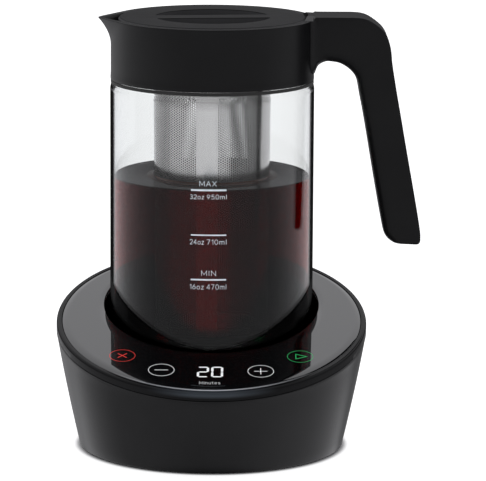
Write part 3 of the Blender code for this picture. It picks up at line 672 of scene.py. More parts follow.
def make_stage():
    me = bpy.data.meshes.new("floor")
    s = 9.0
    me.from_pydata([(-s, -s, 0), (s, -s, 0), (s, s, 0), (-s, s, 0)], [], [(0, 1, 2, 3)])
    ob = bpy.data.objects.new("floor", me)
    SCENE.collection.objects.link(ob)
    n = Nodes("floor_white")
    col = n.ramp(n.noise(3.0, 3.0), (0.2, (0.86, 0.86, 0.86)), (0.8, (0.88, 0.88, 0.88)))
    # the sweep glows evenly, but not under the base and just round it: a painted contact shadow, so that the
    # base grounds itself
    away = n.add("ShaderNodeVectorMath")
    away.operation = "DISTANCE"
    n.t.links.new(n.coord.outputs["Object"], away.inputs[0])
    away.inputs[1].default_value = (CX * 0.001, CY * 0.001, 0.0)
    fade = n.add("ShaderNodeMapRange")
    fade.interpolation_type = "SMOOTHSTEP"
    for k, v in (("From Min", 0.0745), ("From Max", 0.0788), ("To Min", 0.0), ("To Max", FLOOR_GLOW)):
        fade.inputs[k].default_value = v
    n.t.links.new(away.outputs["Value"], fade.inputs["Value"])
    n.shade(Base_Color=col, Roughness=0.9, Emission_Color=(1.0, 1.0, 1.0),
            Emission_Strength=fade.outputs["Result"])
    n.bsdf.inputs["Specular IOR Level"].default_value = 0.0
    me.materials.append(n.m)
    ob.visible_glossy = False
    ob.visible_transmission = False


# seen only by walls that lean outwards, such as the housing's
UNDER_LIGHT = ((-180, 0.02), (-158, 0.05), (-151, 0.70), (-141, 0.75), (-129, 0.58), (-120, 0.45), (-97, 0.25),
               (-68, 0.28), (-53, 0.27), (0, 0.31), (50, 0.31), (82, 0.39), (115, 0.48),
               (133, 0.62), (150, 0.96), (158, 0.05), (180, 0.02))
# what upright satin walls mirror, what the glass mirrors, and what lights the basket
# through the glass
SATIN_LIGHT = ((-180, 0.30), (-147, 0.50), (-130, 0.80), (-90, 0.80), (-61, 0.68), (-30, 0.50),
               (52, 0.50), (87, 0.65), (114, 0.40), (150, 0.15), (180, 0.30))
GLASS_LIGHT = ((-180, 0.01), (-151, 0.01), (-148, 0.56), (-140, 0.56), (-128, 0.54), (-114, 0.44),
               (-102, 0.36), (-77, 0.25), (-40, 0.23), (40, 0.23), (77, 0.25), (102, 0.38),
               (114, 0.44), (128, 0.52), (140, 0.54), (148, 0.50), (151, 0.01), (180, 0.01))
LOW_LIGHT = ((-180, 1.05), (-152, 1.00), (-148, 0.65), (-127, 0.60), (-123, 0.46),
             (-93, 0.50), (-91, 0.72), (0, 0.80), (34, 0.66), (37, 0.26), (104, 0.22), (109, 0.80),
             (128, 0.92), (150, 1.10), (180, 1.10))
MID_LIGHT = ((-180, 0.12), (-130, 0.13), (-100, 0.28), (-60, 0.30), (0, 0.30), (60, 0.25),
             (100, 0.22), (130, 0.13), (180, 0.12))
HIGH_LIGHT = ((-180, 0.80), (-100, 0.80), (-50, 0.45), (0, 0.35), (50, 0.45), (100, 0.80),
              (180, 0.80))


def make_world():
    """A pale studio. What is seen directly, or straight through the glass, is plain
    white; what lights the piece is a bright panel above and behind, with panels of
    uneven brightness round the sides."""
    w = bpy.data.worlds.new("studio")
    SCENE.world = w
    w.use_nodes = True
    t = w.node_tree
    t.nodes.clear()

    def node(kind):
        return t.nodes.new(kind)

    def val(op, a, b=None, c=None, clamp=False):
        n = node("ShaderNodeMath")
        n.operation, n.use_clamp = op, clamp
        for i, v in enumerate((a, b, c)):
            if v is None:
                continue
            if isinstance(v, bpy.types.NodeSocket):
                t.links.new(v, n.inputs[i])
            else:
                n.inputs[i].default_value = v
        return n.outputs[0]

    def step(x, lo, hi, a, b):
        n = node("ShaderNodeMapRange")
        n.interpolation_type = "SMOOTHSTEP"
        t.links.new(x, n.inputs["Value"])
        for k, v in (("From Min", lo), ("From Max", hi), ("To Min", a), ("To Max", b)):
            n.inputs[k].default_value = v
        return n.outputs["Result"]

    geo = node("ShaderNodeTexCoord")
    sep = node("ShaderNodeSeparateXYZ")
    t.links.new(geo.outputs["Generated"], sep.inputs[0])
    x, y, z = sep.outputs
    # azimuth from the camera side, in degrees, positive towards +X
    az = val("MULTIPLY", val("ARCTAN2", x, val("MULTIPLY", y, -1.0)), 180.0 / pi)
    el = val("MULTIPLY", val("ARCSINE", z), 180.0 / pi)
    absaz = val("ABSOLUTE", az)

    def by_azimuth(stops):
        ramp = node("ShaderNodeValToRGB")
        t.links.new(val("ADD", val("DIVIDE", az, 360.0), 0.5), ramp.inputs["Fac"])
        cr = ramp.color_ramp
        while len(cr.elements) < len(stops):
            cr.elements.new(0.5)
        for e, (a, v) in zip(cr.elements, stops):
            e.position = a / 360.0 + 0.5
            e.color = (v / 2.5, v / 2.5, v / 2.5, 1.0)
        return val("MULTIPLY", ramp.outputs["Color"], 2.5)

    def blend(f, a, b):
        return val("ADD", val("MULTIPLY", a, val("SUBTRACT", 1.0, f)), val("MULTIPLY", b, f))

    lp = node("ShaderNodeLightPath")
    bounced = val("ADD", lp.outputs["Glossy Depth"], lp.outputs["Diffuse Depth"])
    through = val("GREATER_THAN", lp.outputs["Transmission Depth"], 2.5)
    mirror = val("MULTIPLY", lp.outputs["Is Singular Ray"], val("SUBTRACT", 1.0, through))

    # below the horizon, where upright walls look: panels with sharp edges all round
    low = blend(mirror, by_azimuth(SATIN_LIGHT), by_azimuth(GLASS_LIGHT))
    low = blend(through, low, by_azimuth(LOW_LIGHT))
    # edges that face straight down mirror only the dark right under the object
    under = by_azimuth(UNDER_LIGHT)
    low = blend(step(el, -24.0, -18.0, 0.0, 1.0), blend(step(el, -78.0, -52.0, 0.0, 1.0), 0.03, under), low)
    # just above it: dark at the back, which level faces mirror
    mid = blend(through, by_azimuth(MID_LIGHT), 0.20)
    # higher: a bright panel behind and overhead
    high = by_azimuth(HIGH_LIGHT)
    light = blend(step(el, -4.0, -0.5, 0.0, 1.0), low, mid)
    light = blend(step(el, 20.0, 26.0, 0.0, 1.0), light, high)

    # one face seen in another is dim, so that the plate shows the jug as a dark shape
    twice = val("MULTIPLY", val("GREATER_THAN", lp.outputs["Glossy Depth"], 1.5),
                val("SUBTRACT", 1.0, through))
    light = val("MULTIPLY", light, val("SUBTRACT", 1.0, val("MULTIPLY", twice, 0.88)))

    straight = val("MULTIPLY", lp.outputs["Is Transmission Ray"], val("LESS_THAN", bounced, 0.5))
    seen = val("MAXIMUM", lp.outputs["Is Camera Ray"], straight)

    bg_light, bg_seen, mix, out = (node("ShaderNodeBackground"), node("ShaderNodeBackground"),
                                   node("ShaderNodeMixShader"), node("ShaderNodeOutputWorld"))
    tint = node("ShaderNodeCombineColor")
    t.links.new(light, tint.inputs[0])
    t.links.new(light, tint.inputs[1])
    t.links.new(val("MULTIPLY", light, 1.03), tint.inputs[2])
    t.links.new(tint.outputs[0], bg_light.inputs["Color"])
    bg_seen.inputs["Color"].default_value = (1.0, 1.0, 1.0, 1.0)
    t.links.new(seen, mix.inputs[0])
    t.links.new(bg_light.outputs[0], mix.inputs[1])
    t.links.new(bg_seen.outputs[0], mix.inputs[2])
    t.links.new(mix.outputs[0], out.inputs["Surface"])
    w.cycles.sampling_method = "MANUAL"
    w.cycles.sample_map_resolution = 512

    SCENE.view_settings.view_transform = "Standard"
    SCENE.view_settings.look = "None"


make_camera()
make_stage()
make_world()


# ================================================================== base
def seven_loops(loops_fn, items):
    return [loops_fn(*it) for it in items]


def make_housing():
    seat = -PLATE_T - 0.15 - GAP
    bz = -BEZEL_H - GAP
    loops = []
    for k in range(5):                               # rolled lower edge
        a = k / 4 * pi / 2
        loops.append([wall_point(t, BOTTOM + 0.6 * (1 - cos(a)), 0.6 * (1 - sin(a)))
                      for t in circle(N)])
    for k in range(1, 12):
        f = 0.03 + (0.965 - 0.03) * k / 11
        loops.append([wall_share(t, f) for t in circle(N)])
    loops += [rim(0.0, bz - 0.45), rim(0.05, bz - 0.18), rim(0.2, bz - 0.04), rim(0.42, bz),
              rim(BEZEL_W + GAP - 0.15, bz), rim(BEZEL_W + GAP, bz + 0.15),
              rim(BEZEL_W + GAP, seat - 0.2), rim(BEZEL_W + GAP + 0.2, seat),
              rim(5.2, seat), rim(5.4, seat - 0.2), rim(5.4, -7.0), rim(WALL + 0.3, -9.8)]
    for k in range(1, 6):
        f = 0.93 * (1 - k / 6)
        loops.append([wall_share(t, max(f, 0.02), WALL) for t in circle(N)])
    loops += [[wall_point(t, BOTTOM + 0.2, WALL) for t in circle(N)],
              [wall_point(t, BOTTOM, WALL - 0.2) for t in circle(N)]]
    sh = Shape().loft(loops, ring=True)
    ob = put("housing", sh, HOUSINGM)

    for a in SCREW_ANGLES:
        rows = []
        for z in (4.2, 4.5, 12.7, 13.0):
            g = 0.3 if z in (4.2, 13.0) else 0.0
            w = wall_point(a, z, WALL - 1.2)
            far = hypot(w[0], w[1])
            pts = [(SCREW_R + (4.2 - g) * cos(q), (4.2 - g) * sin(q)) for q in
                   [radians(90 + 180 * k / 16) for k in range(17)]]
            pts += [(far, -4.2 + g), (far, 4.2 - g)]
            rows.append([(x * cos(a) - y * sin(a), x * sin(a) + y * cos(a), z) for x, y in pts])
        ob = cut(ob, tool(Shape().loft(rows)), op="UNION")
    holes = []
    for a in SCREW_ANGLES:
        holes.append(tool(turned(Shape(), [(0, 3.6), (1.7, 3.6), (1.7, 11.6), (0, 11.6)], 32,
                                 (SCREW_R * cos(a), SCREW_R * sin(a)), soft=False)))
    rows = []
    for y, r in ((68.0, 5.3), (74.9, 5.3), (77.2, 5.3), (84.0, 5.3)):
        rows.append([(r * cos(t), y, INLET_Z + r * sin(t)) for t in circle(64)])
    holes.append(tool(Shape().loft(rows)))
    cut(ob, *holes)
    settle(ob, "base", "satin_black", "base_housing")

    # a raised ring moulded round the power inlet, following the wall
    rows = []
    for r, out in ((5.45, -0.5), (5.45, 0.25), (5.65, 0.38), (6.6, 0.38), (6.85, 0.2), (6.95, -0.5)):
        lp = []
        for t in circle(72):
            x, z = r * cos(t), INLET_Z + r * sin(t)
            ang = atan2(sqrt(max(1.0, FOOT_R ** 2 - x * x)), x)
            w = wall_point(ang, z)
            k = x / w[0] if abs(w[0]) > 1e-6 else 1.0
            y = w[1] + (w[0] - x) * (w[0] / max(w[1], 1.0))
            lp.append((x, y + out, z))
        rows.append(lp)
    settle(put("inlet_surround", Shape().loft(rows, ring=True), HOUSINGM), "base", "satin_black")


def make_bezel():
    prof = [(0.15, -BEZEL_H), (0.0, -BEZEL_H + 0.2)]
    prof += [(0.0, -1.5)]
    for k in range(1, 9):
        a = k / 8 * pi / 2
        prof.append((1.35 * (1 - cos(a)), -1.35 * (1 - sin(a)) - 0.0))
    prof += [(1.9, 0.0), (BEZEL_W - 0.45, 0.0)]
    for k in range(1, 5):
        a = k / 4 * pi / 2
        prof.append((BEZEL_W - 0.28 * (1 - sin(a)) - 0.0 if k < 4 else BEZEL_W, -0.28 * (1 - cos(a))))
    prof += [(BEZEL_W, -1.2), (BEZEL_W, -BEZEL_H + 0.2), (BEZEL_W - 0.2, -BEZEL_H)]
    ob = put("bezel", Shape().loft([rim(i, z, 256) for i, z in prof], ring=True), BEZELM, 40)
    settle(ob, "base", "gloss_black", "bezel_ring")


def make_plate():
    hole = WELL_R
    e = BEZEL_W + GAP
    top, low = -0.15, -0.15 - PLATE_T
    loops = [rim(e, low + 0.2, 256), rim(e, top - 0.22, 256), rim(e + 0.06, top - 0.08, 256),
             rim(e + 0.2, top, 256)]
    a, b = np.array(rim(e + 0.2, top, 256)), np.array(well(hole + 0.2, top, n=256))
    for k in range(1, 6):                           # even rows across the plate
        loops.append([tuple(p) for p in (a + (b - a) * k / 6)])
    loops += [well(hole + 0.2, top, n=256), well(hole + 0.06, top - 0.06, n=256),
              well(hole, top - 0.2, n=256), well(hole, low + 0.2, n=256),
              well(hole + 0.2, low, n=256), rim(e + 0.2, low, 256)]
    ob = put("touch_plate", Shape().loft(loops, ring=True), PANELM, 50)
    settle(ob, "base", "panel_gloss", "top_panel")


def make_well():
    under = -0.15 - PLATE_T - GAP
    loops = [level(0.001, WELL_FLOOR, JY), level(20.0, WELL_FLOOR, JY), level(22.0, WELL_FLOOR, JY),
             level(40.0, WELL_FLOOR, JY), level(WELL_FLOOR_R - 2.2, WELL_FLOOR, JY)]
    for k in range(1, 7):
        a = k / 6 * pi / 2
        loops.append(level(WELL_FLOOR_R - 2.2 + 2.2 * sin(a), WELL_FLOOR + 2.2 * (1 - cos(a)), JY))
    lo = np.array(level(WELL_FLOOR_R, WELL_FLOOR + 2.2, JY))
    hi = np.array(well(WELL_R, under - 0.4))
    for k in range(1, 8):
        loops.append([tuple(p) for p in (lo + (hi - lo) * k / 8)])
    loops += [well(WELL_R, under - 0.4), well(WELL_R + 0.08, under - 0.15),
              well(WELL_R + 0.3, under), well(63.5, under),
              well(65.8, under, 6.4), well(66.0, under - 0.2, 6.2), well(66.0, under - 1.5, 6.2),
              well(65.8, under - 1.7, 6.4), well(WELL_R + LIP, under - 1.7),
              level(WELL_FLOOR_R + LIP, WELL_FLOOR, JY), level(WELL_FLOOR_R - 1.0, WELL_FLOOR - 2.0, JY),
              level(30.0, WELL_FLOOR - 2.0, JY), level(0.001, WELL_FLOOR - 2.0, JY)]
    sh = Shape()
    sh.loft(loops[1:-1])
    ob = put("well_shell", sh, LINER, 40)
    settle(ob, "base", "liner_black", "well_liner")

    prof = [(24.0, 47.8), (56.0, 47.8), (56.0, 49.0)]
    r = 55.4
    ribs = []
    while r > 25.5:                                  # fine rings moulded in its top
        ribs += [(r, 49.2), (r - 1.0, 49.2), (r - 1.25, 48.95), (r - 2.0, 48.95)]
        r -= 2.25
    prof += ribs + [(24.0, 48.95)]
    turn_piece("well_mat_ribbed", prof, "base", SILICONE, "silicone", ["well_mat"], r=0.12, seg=2)


def make_underside():
    ob = put("base_cover", turned(Shape(), [(0, 1.5), (71.2, 1.5), (71.9, 2.2), (71.9, 3.9), (0, 3.9)],
                                  N, (0, 0), 0.3), SATIN)
    tools = []
    for a in SCREW_ANGLES:
        c = (SCREW_R * cos(a), SCREW_R * sin(a))
        tools.append(tool(turned(Shape(), [(0, 0.5), (3.6, 0.5), (3.3, 1.8), (3.3, 2.9), (1.8, 2.9),
                                           (1.8, 5.0), (0, 5.0)], 48, c, soft=False)))
    for i in range(-4, 5):
        w = 13.0 - 0.45 * i * i * 0.5
        x = i * 6.0
        rows = []
        for z, g in ((0.5, 0.3), (1.5, 0.3), (1.8, 0.0), (5.0, 0.0)):
            pts = []
            for q in [pi + pi * k / 10 for k in range(11)]:
                pts.append((x + (1.2 + g) * cos(q), -22.0 - w + 1.2 + (1.2 + g) * sin(q), z))
            for q in [pi * k / 10 for k in range(11)]:
                pts.append((x + (1.2 + g) * cos(q), -22.0 + w - 1.2 + (1.2 + g) * sin(q), z))
            rows.append(pts)
        tools.append(tool(Shape().loft(rows)))
    groove = turned(Shape(), [(66.0, 1.0), (66.9, 1.0), (66.9, 1.8), (66.0, 1.8)], N, (0, 0), soft=False)
    cut(ob, *tools)
    settle(ob, "base", "satin_black", "bottom_cover")

    for i, a in enumerate((45, 135, 225, 315)):
        c = (56 * cos(radians(a)), 56 * sin(radians(a)))
        turn_piece("foot_pad_%d" % (i + 1),
                   [(0, 0.0), (3.2, 0.0), (3.5, 0.15), (3.9, 0.15), (4.2, 0.0), (6.6, 0.0),
                    (7.4, 0.5, 0.5), (7.4, 1.2), (0, 1.2)],
                   "base", RUBBER, "rubber", ["foot_%d" % (i + 1)], n=64, centre=c, r=0.15)

    for i, a in enumerate(SCREW_ANGLES):
        c = (SCREW_R * cos(a), SCREW_R * sin(a))
        prof = [(0, 1.75), (2.2, 1.75), (2.7, 2.0), (2.8, 2.35), (2.8, 2.6), (1.4, 2.6)]
        z = 2.9
        while z < 10.0:
            prof += [(1.4, z), (1.08, z + 0.3), (1.4, z + 0.62)]
            z += 0.75
        prof += [(1.2, 10.2), (0.5, 10.6), (0, 10.6)]
        ob = put("case_screw_%d" % (i + 1), turned(Shape(), prof, 48, c, 0.1, 2), ZINC)
        for q in (0.4, 0.4 + pi / 2):                # cross recess
            rows = []
            for z, s in ((1.2, 1.0), (1.9, 0.92), (2.45, 0.45)):
                pts = [(-1.5 * s, -0.32 * s), (1.5 * s, -0.32 * s), (1.5 * s, 0.32 * s), (-1.5 * s, 0.32 * s)]
                rows.append([(c[0] + x * cos(q) - y * sin(q), c[1] + x * sin(q) + y * cos(q), z)
                             for x, y in pts])
            ob = cut(ob, tool(Shape().loft(rows)))
        settle(ob, "base", "zinc_steel", "cover_screw_%d" % (i + 1))


def make_inlet():
    prof = [(5.0, 60.0), (5.0, 66.0), (7.4, 66.0), (7.4, 71.5), (5.0, 71.5), (5.0, 76.4),
            (4.6, 76.8), (3.5, 76.8), (3.2, 76.5), (3.2, 67.4), (0, 67.4)]
    prof = soften([(0, 60.0)] + prof, 0.15, 3, closed=False)[1:-1]
    rows = [[(r * cos(t), yy, INLET_Z + r * sin(t)) for t in circle(64)] for r, yy in prof]
    ob = put("power_socket", Shape().loft(rows), BLACKCOMP)
    settle(ob, "base", "component_black", "power_inlet")
    prof = soften([(0, 67.7), (1.0, 67.7), (1.0, 74.1, 0.4), (0.55, 74.8, 0.3), (0, 74.8)], 0.1, 4,
                  closed=False)[1:-1]
    rows = [[(r * cos(t), yy, INLET_Z + r * sin(t)) for t in circle(40)] for r, yy in prof]
    ob = put("socket_pin", Shape().loft(rows), BRIGHT)
    settle(ob, "base", "stainless_bright", "inlet_pin")


make_housing()
make_bezel()
make_plate()
make_well()
make_underside()
make_inlet()


# ------------------------------------------------------------------ lit marks on the plate
def on_plate(x, v, h=0.0):
    """A point in the plate's plane: v runs up the slope from y = 0, h stands off it."""
    y = v * cos(TILT)
    return (x, y - h * sin(TILT), plane_z(y) - 0.15 + h * cos(TILT))


def slope_v(y):
    return y / cos(TILT)


def ribbon(shape, pts, width, place, lo=0.012, hi=0.05, closed=False, ends=True):
    """A flat stroke through 2-D points with round ends, laid by place(x, v, h)."""
    pts = [Vector(p) for p in pts]
    n = len(pts)
    left, right = [], []
    for i, p in enumerate(pts):
        if closed:
            a, b = pts[i - 1], pts[(i + 1) % n]
        else:
            a, b = pts[max(0, i - 1)], pts[min(n - 1, i + 1)]
        d1 = (p - a).normalized() if (p - a).length > 1e-9 else (b - p).normalized()
        d2 = (b - p).normalized() if (b - p).length > 1e-9 else d1
        d = (d1 + d2).normalized()
        nrm = Vector((-d.y, d.x))
        k = 1.0 / max(0.35, nrm.dot(Vector((-d1.y, d1.x))))
        left.append(p + nrm * width / 2 * k)
        right.append(p - nrm * width / 2 * k)
    if closed:
        loops = []
        for i in range(n):
            loops.append([place(left[i].x, left[i].y, lo), place(left[i].x, left[i].y, hi),
                          place(right[i].x, right[i].y, hi), place(right[i].x, right[i].y, lo)])
        shape.loft(loops, ring=True)
        return
    outline = []
    d = (pts[1] - pts[0]).normalized()
    if ends:
        for k in range(1, 6):
            a = atan2(d.y, d.x) + pi / 2 + pi * k / 6
            outline.append(pts[0] + Vector((cos(a), sin(a))) * width / 2)
    outline += right
    d = (pts[-1] - pts[-2]).normalized()
    if ends:
        for k in range(1, 6):
            a = atan2(d.y, d.x) - pi / 2 + pi * k / 6
            outline.append(pts[-1] + Vector((cos(a), sin(a))) * width / 2)
    outline += list(reversed(left))
    shape.flat_cap_loft([[place(q.x, q.y, h) for q in outline] for h in (lo, hi)])


def make_icons():
    def ring(cx, cy, r, w, sh, n=96):
        v = slope_v(cy)
        ribbon(sh, [(cx + r * cos(t), v + r * sin(t)) for t in circle(n)], w, on_plate, closed=True)

    def icon(name, cx, cy, strokes, mat, closed=False, w=0.5):
        sh = Shape()
        ring(cx, cy, 7.1, 0.27, sh)
        v = slope_v(cy)
        for pts in strokes:
            ribbon(sh, [(cx + x, v + y) for x, y in pts], w, on_plate, closed=closed)
        ob = put(name, sh, mat, 60)
        settle(ob, "base", "panel_gloss")

    k = 2.35
    icon("icon_cancel", -49.8, -48.8, [[(-k, -k), (k, k)], [(-k, k), (k, -k)]], LIT_RED, w=0.52)
    icon("icon_less", -28.0, -65.6, [[(-3.6, 0), (3.6, 0)]], LIT_WHITE, w=0.42)
    icon("icon_more", 26.9, -66.9, [[(-3.5, 0), (3.5, 0)], [(0, -3.5), (0, 3.5)]], LIT_WHITE, w=0.40)
    icon("icon_start", 49.1, -49.5, [[(-2.4, -2.9), (3.6, 0.0), (-2.4, 2.9)]], LIT_GREEN, True, w=0.5)

    # two seven-segment digits
    def segment(sh, a, b, w, gap):
        a, b = Vector(a), Vector(b)
        d = (b - a).normalized()
        nr = Vector((-d.y, d.x))
        a, b = a + d * gap, b - d * gap
        h = w / 2
        pts = [a, a + d * h + nr * h, b - d * h + nr * h, b, b - d * h - nr * h, a + d * h - nr * h]
        out = [(p.x + 0.02 * (p.y - mid), p.y) for p in pts]
        sh.flat_cap_loft([[on_plate(x, y, hh) for x, y in out] for hh in (0.012, 0.05)])

    top, low = slope_v(-61.8) - 0.6, slope_v(-74.0) + 0.6
    mid = (top + low) / 2
    sh = Shape()
    for x0, x1, on in ((-7.68, -2.34, "abged"), (0.15, 5.50, "abcdef")):
        seg = {"a": ((x0, top), (x1, top)), "d": ((x0, low), (x1, low)), "g": ((x0, mid), (x1, mid)),
               "b": ((x1, mid), (x1, top)), "c": ((x1, low), (x1, mid)),
               "e": ((x0, low), (x0, mid)), "f": ((x0, mid), (x0, top))}
        for k in on:
            segment(sh, *seg[k], 1.25 if k in "bcef" else 1.1, 0.17)
    settle(put("digits_20", sh, LIT_WHITE, 60), "base", "panel_gloss")


def bow(cx, cy, rx, ry, a0, a1, n=14):
    """Points along part of an ellipse, angles in degrees."""
    return [(cx + rx * cos(radians(a0 + (a1 - a0) * k / n)), cy + ry * sin(radians(a0 + (a1 - a0) * k / n)))
            for k in range(n + 1)]


# single-stroke letters: width, then strokes; capitals and figures are 1 high
LETTERS = {
    "M": (0.92, [[(0, 0), (0, 1), (0.46, 0.22), (0.92, 1), (0.92, 0)]]),
    "A": (0.84, [[(0, 0), (0.42, 1), (0.84, 0)], [(0.14, 0.32), (0.70, 0.32)]]),
    "X": (0.76, [[(0, 0), (0.76, 1)], [(0, 1), (0.76, 0)]]),
    "I": (0.14, [[(0.07, 0), (0.07, 1)]]),
    "N": (0.76, [[(0, 0), (0, 1), (0.76, 0), (0.76, 1)]]),
    "0": (0.64, [bow(0.32, 0.5, 0.32, 0.5, 90, 450, 30)]),
    "1": (0.26, [[(0, 0.80), (0.26, 1), (0.26, 0)]]),
    "2": (0.62, [bow(0.31, 0.70, 0.30, 0.30, 165, -35) + [(0, 0), (0.62, 0)]]),
    "3": (0.60, [bow(0.28, 0.75, 0.25, 0.25, 150, -90), bow(0.28, 0.26, 0.30, 0.26, 90, -150)]),
    "4": (0.68, [[(0.52, 0), (0.52, 1), (0, 0.28), (0.68, 0.28)]]),
    "5": (0.60, [[(0.54, 1), (0.12, 1), (0.07, 0.56)] + bow(0.28, 0.32, 0.31, 0.32, 118, -145)]),
    "6": (0.62, [bow(0.31, 0.32, 0.31, 0.32, 90, 450, 26), [(0.03, 0.42), (0.42, 1)]]),
    "7": (0.60, [[(0, 1), (0.60, 1), (0.20, 0)]]),
    "9": (0.62, [bow(0.31, 0.68, 0.31, 0.32, 90, 450, 26), [(0.59, 0.58), (0.20, 0)]]),
    "o": (0.64, [bow(0.32, 0.34, 0.32, 0.34, 90, 450, 26)]),
    "z": (0.50, [[(0, 0.68), (0.50, 0.68), (0, 0), (0.50, 0)]]),
    "m": (0.88, [[(0, 0), (0, 0.68)], bow(0.22, 0.45, 0.22, 0.23, 180, 0) + [(0.44, 0)],
                 bow(0.66, 0.45, 0.22, 0.23, 180, 0) + [(0.88, 0)]]),
    "l": (0.06, [[(0.06, 0), (0.06, 1)]]),
    "i": (0.0, [[(0, 0), (0, 0.68)], [(0, 0.92), (0, 0.96)]]),
    "n": (0.50, [[(0, 0), (0, 0.68)], bow(0.25, 0.43, 0.25, 0.25, 180, 0) + [(0.50, 0)]]),
    "u": (0.50, [[(0, 0.68)] + bow(0.25, 0.25, 0.25, 0.25, 180, 360), [(0.50, 0.68), (0.50, 0)]]),
    "t": (0.34, [[(0.13, 0.94), (0.13, 0.16)] + bow(0.29, 0.16, 0.16, 0.16, 180, 280),
                 [(0, 0.68), (0.33, 0.68)]]),
    "e": (0.62, [[(0.01, 0.36), (0.61, 0.36)] + bow(0.31, 0.34, 0.30, 0.34, 4, 315)]),
    "s": (0.44, [bow(0.22, 0.51, 0.20, 0.17, 40, 270, 12) + bow(0.22, 0.17, 0.22, 0.17, 90, -140, 12)]),
}


def stroke_text(shape, text, x0, x1, y0, y1, place, width, gap=0.34, lo=0.012, hi=0.05):
    """A line of text in single strokes, fitted to a box whose sides its strokes touch."""
    x0, x1, y0, y1 = x0 + width / 2, x1 - width / 2, y0 + width / 2, y1 - width / 2
    total = sum(LETTERS[c][0] for c in text) + gap * (len(text) - 1)
    sx, sy = (x1 - x0) / total, y1 - y0
    at = 0.0
    for c in text:
        w, strokes = LETTERS[c]
        for pts in strokes:
            p = [(x0 + (at + x) * sx, y0 + y * sy) for x, y in pts]
            round_ = len(p) > 20 and hypot(p[0][0] - p[-1][0], p[0][1] - p[-1][1]) < 1e-4
            ribbon(shape, p[:-1] if round_ else p, width, place, lo, hi, closed=round_)
        at += w + gap


def make_plate_words():
    sh = Shape()
    stroke_text(sh, "Minutes", -7.15, 4.42, slope_v(-82.1), slope_v(-78.8), on_plate, 0.23)
    settle(put("unit_word", sh, LIT_DIM, 60), "base", "panel_gloss")


def on_jug(s, z, h=0.0):
    """A point on the jug's wall: s is the arc length from the front, towards +X."""
    a, r = s / GLASS_R, GLASS_R + h
    return (r * sin(a), JY - r * cos(a), z)


def make_marks():
    def arc(deg):
        return radians(deg) * GLASS_R

    sh = Shape()
    for z, th in ((153.5, 1.0), (128.2, 0.75), (103.0, 0.9)):
        pts = [(arc(-11.9 + (7.7 + 11.9) * k / 16), z) for k in range(17)]
        ribbon(sh, pts, th, on_jug, 0.012, 0.06, ends=False)
    words = [("MAX", -7.2, 2.3, 155.7, 158.65), ("MIN", -6.05, 2.1, 105.2, 108.2)]
    for z0, z1, oz, ml in ((148.4, 151.1, "32oz", "950ml"), (122.9, 125.8, "24oz", "710ml"),
                           (97.5, 100.4, "16oz", "470ml")):
        words += [(oz, -12.45, -4.6, z0, z1), (ml, -3.1, 7.8, z0, z1)]
    for text, a, b, z0, z1 in words:
        stroke_text(sh, text, arc(a), arc(b), z0, z1, on_jug, 0.25)
    # the marks glow faintly: painted light
    settle(put("volume_marks", sh, PRINT, 60), "carafe", "jug_glass")


make_icons()
make_plate_words()
make_marks()


# ================================================================== jug
def make_glass():
    prof = [(0, JUG_BOTTOM + 0.5), (46.3, JUG_BOTTOM + 0.5, 3.0), (48.8, JUG_BOTTOM, 2.0),
            (51.9, JUG_BOTTOM, 2.0), (56.3, JUG_BOTTOM + 1.9, 5.0), (GLASS_R, 56.4, 5.0),
            (GLASS_R, 202.8, 3.0), (57.35, 204.8, 1.6), (56.5, 206.8, 1.4), (55.9, 208.6, 1.2),
            (55.2, 210.2, 1.0), (54.2, 211.2, 0.8), (NECK_R, 211.7, 0.5),
            (NECK_R, NECK_TOP - 0.2, 0.8), (NECK_R - GLASS, NECK_TOP - 0.2, 0.8),
            (NECK_R - GLASS, 211.2, 0.7), (52.0, 210.3, 0.9), (53.3, 208.9, 1.2),
            (54.1, 206.9, 1.6), (55.0, 204.6, 2.0), (GLASS_R - GLASS, 201.8, 3.0),
            (GLASS_R - GLASS, 58.2, 4.5), (54.2, 54.6, 3.0), (50.9, JUG_FLOOR, 3.0), (0, JUG_FLOOR)]
    sh = turned(Shape(), prof, 256, r=0.4, seg=7)
    ob = put("jug", sh, GLASSM, None)
    settle(ob, "carafe", "jug_glass", "glass_carafe")


def make_coffee():
    """A body of coffee that fills the jug to the top mark, a hair inside the glass, with
    its edge drawn up where it wets the wall."""
    r = GLASS_R - GLASS - 0.05
    prof = [(0, LEVEL), (r, LEVEL), (r, 100.0), (r, 58.2, 4.5),
            (54.15, 54.66, 3.0), (50.9, JUG_FLOOR + 0.05, 3.0), (0, JUG_FLOOR + 0.05)]
    sh = turned(Shape(), prof, 256, r=0.8, seg=6)
    ob = put("coffee", sh, COFFEE, 60)
    settle(ob, "carafe", "jug_glass")
    # its surface, a mirror too deep to see into, drawn up a little at the glass
    sh = turned(Shape(), [(33.0, LEVEL + 0.04), (53.6, LEVEL + 0.04), (r - 0.5, LEVEL + 0.28),
                          (r, LEVEL + 0.72), (r, LEVEL + 0.84), (r - 0.6, LEVEL + 0.44),
                          (53.4, LEVEL + 0.16), (33.0, LEVEL + 0.16)], 256, r=0.04, seg=2)
    ob = put("coffee_surface", sh, COFFEE_TOP, 50)
    settle(ob, "carafe", "jug_glass")
    # the same inside the basket
    sh = turned(Shape(), [(0, LEVEL + 0.04), (31.6, LEVEL + 0.04), (31.6, LEVEL + 0.16),
                          (0, LEVEL + 0.16)], 192, r=0.04, seg=2)
    ob = put("coffee_surface_inner", sh, COFFEE_TOP, 50)
    settle(ob, "carafe", "jug_glass")
    # drawn up round the basket too, thin and brown there
    sh = turned(Shape(), [(33.0, LEVEL + 0.18), (37.2, LEVEL + 0.18), (37.2, LEVEL + 0.22),
                          (34.9, LEVEL + 0.32), (33.7, LEVEL + 0.62), (33.15, LEVEL + 1.0),
                          (33.0, LEVEL + 1.0)], 192, r=0.05, seg=2)
    ob = put("coffee_meniscus", sh, COFFEE_RIM, 50)
    settle(ob, "carafe", "jug_glass")


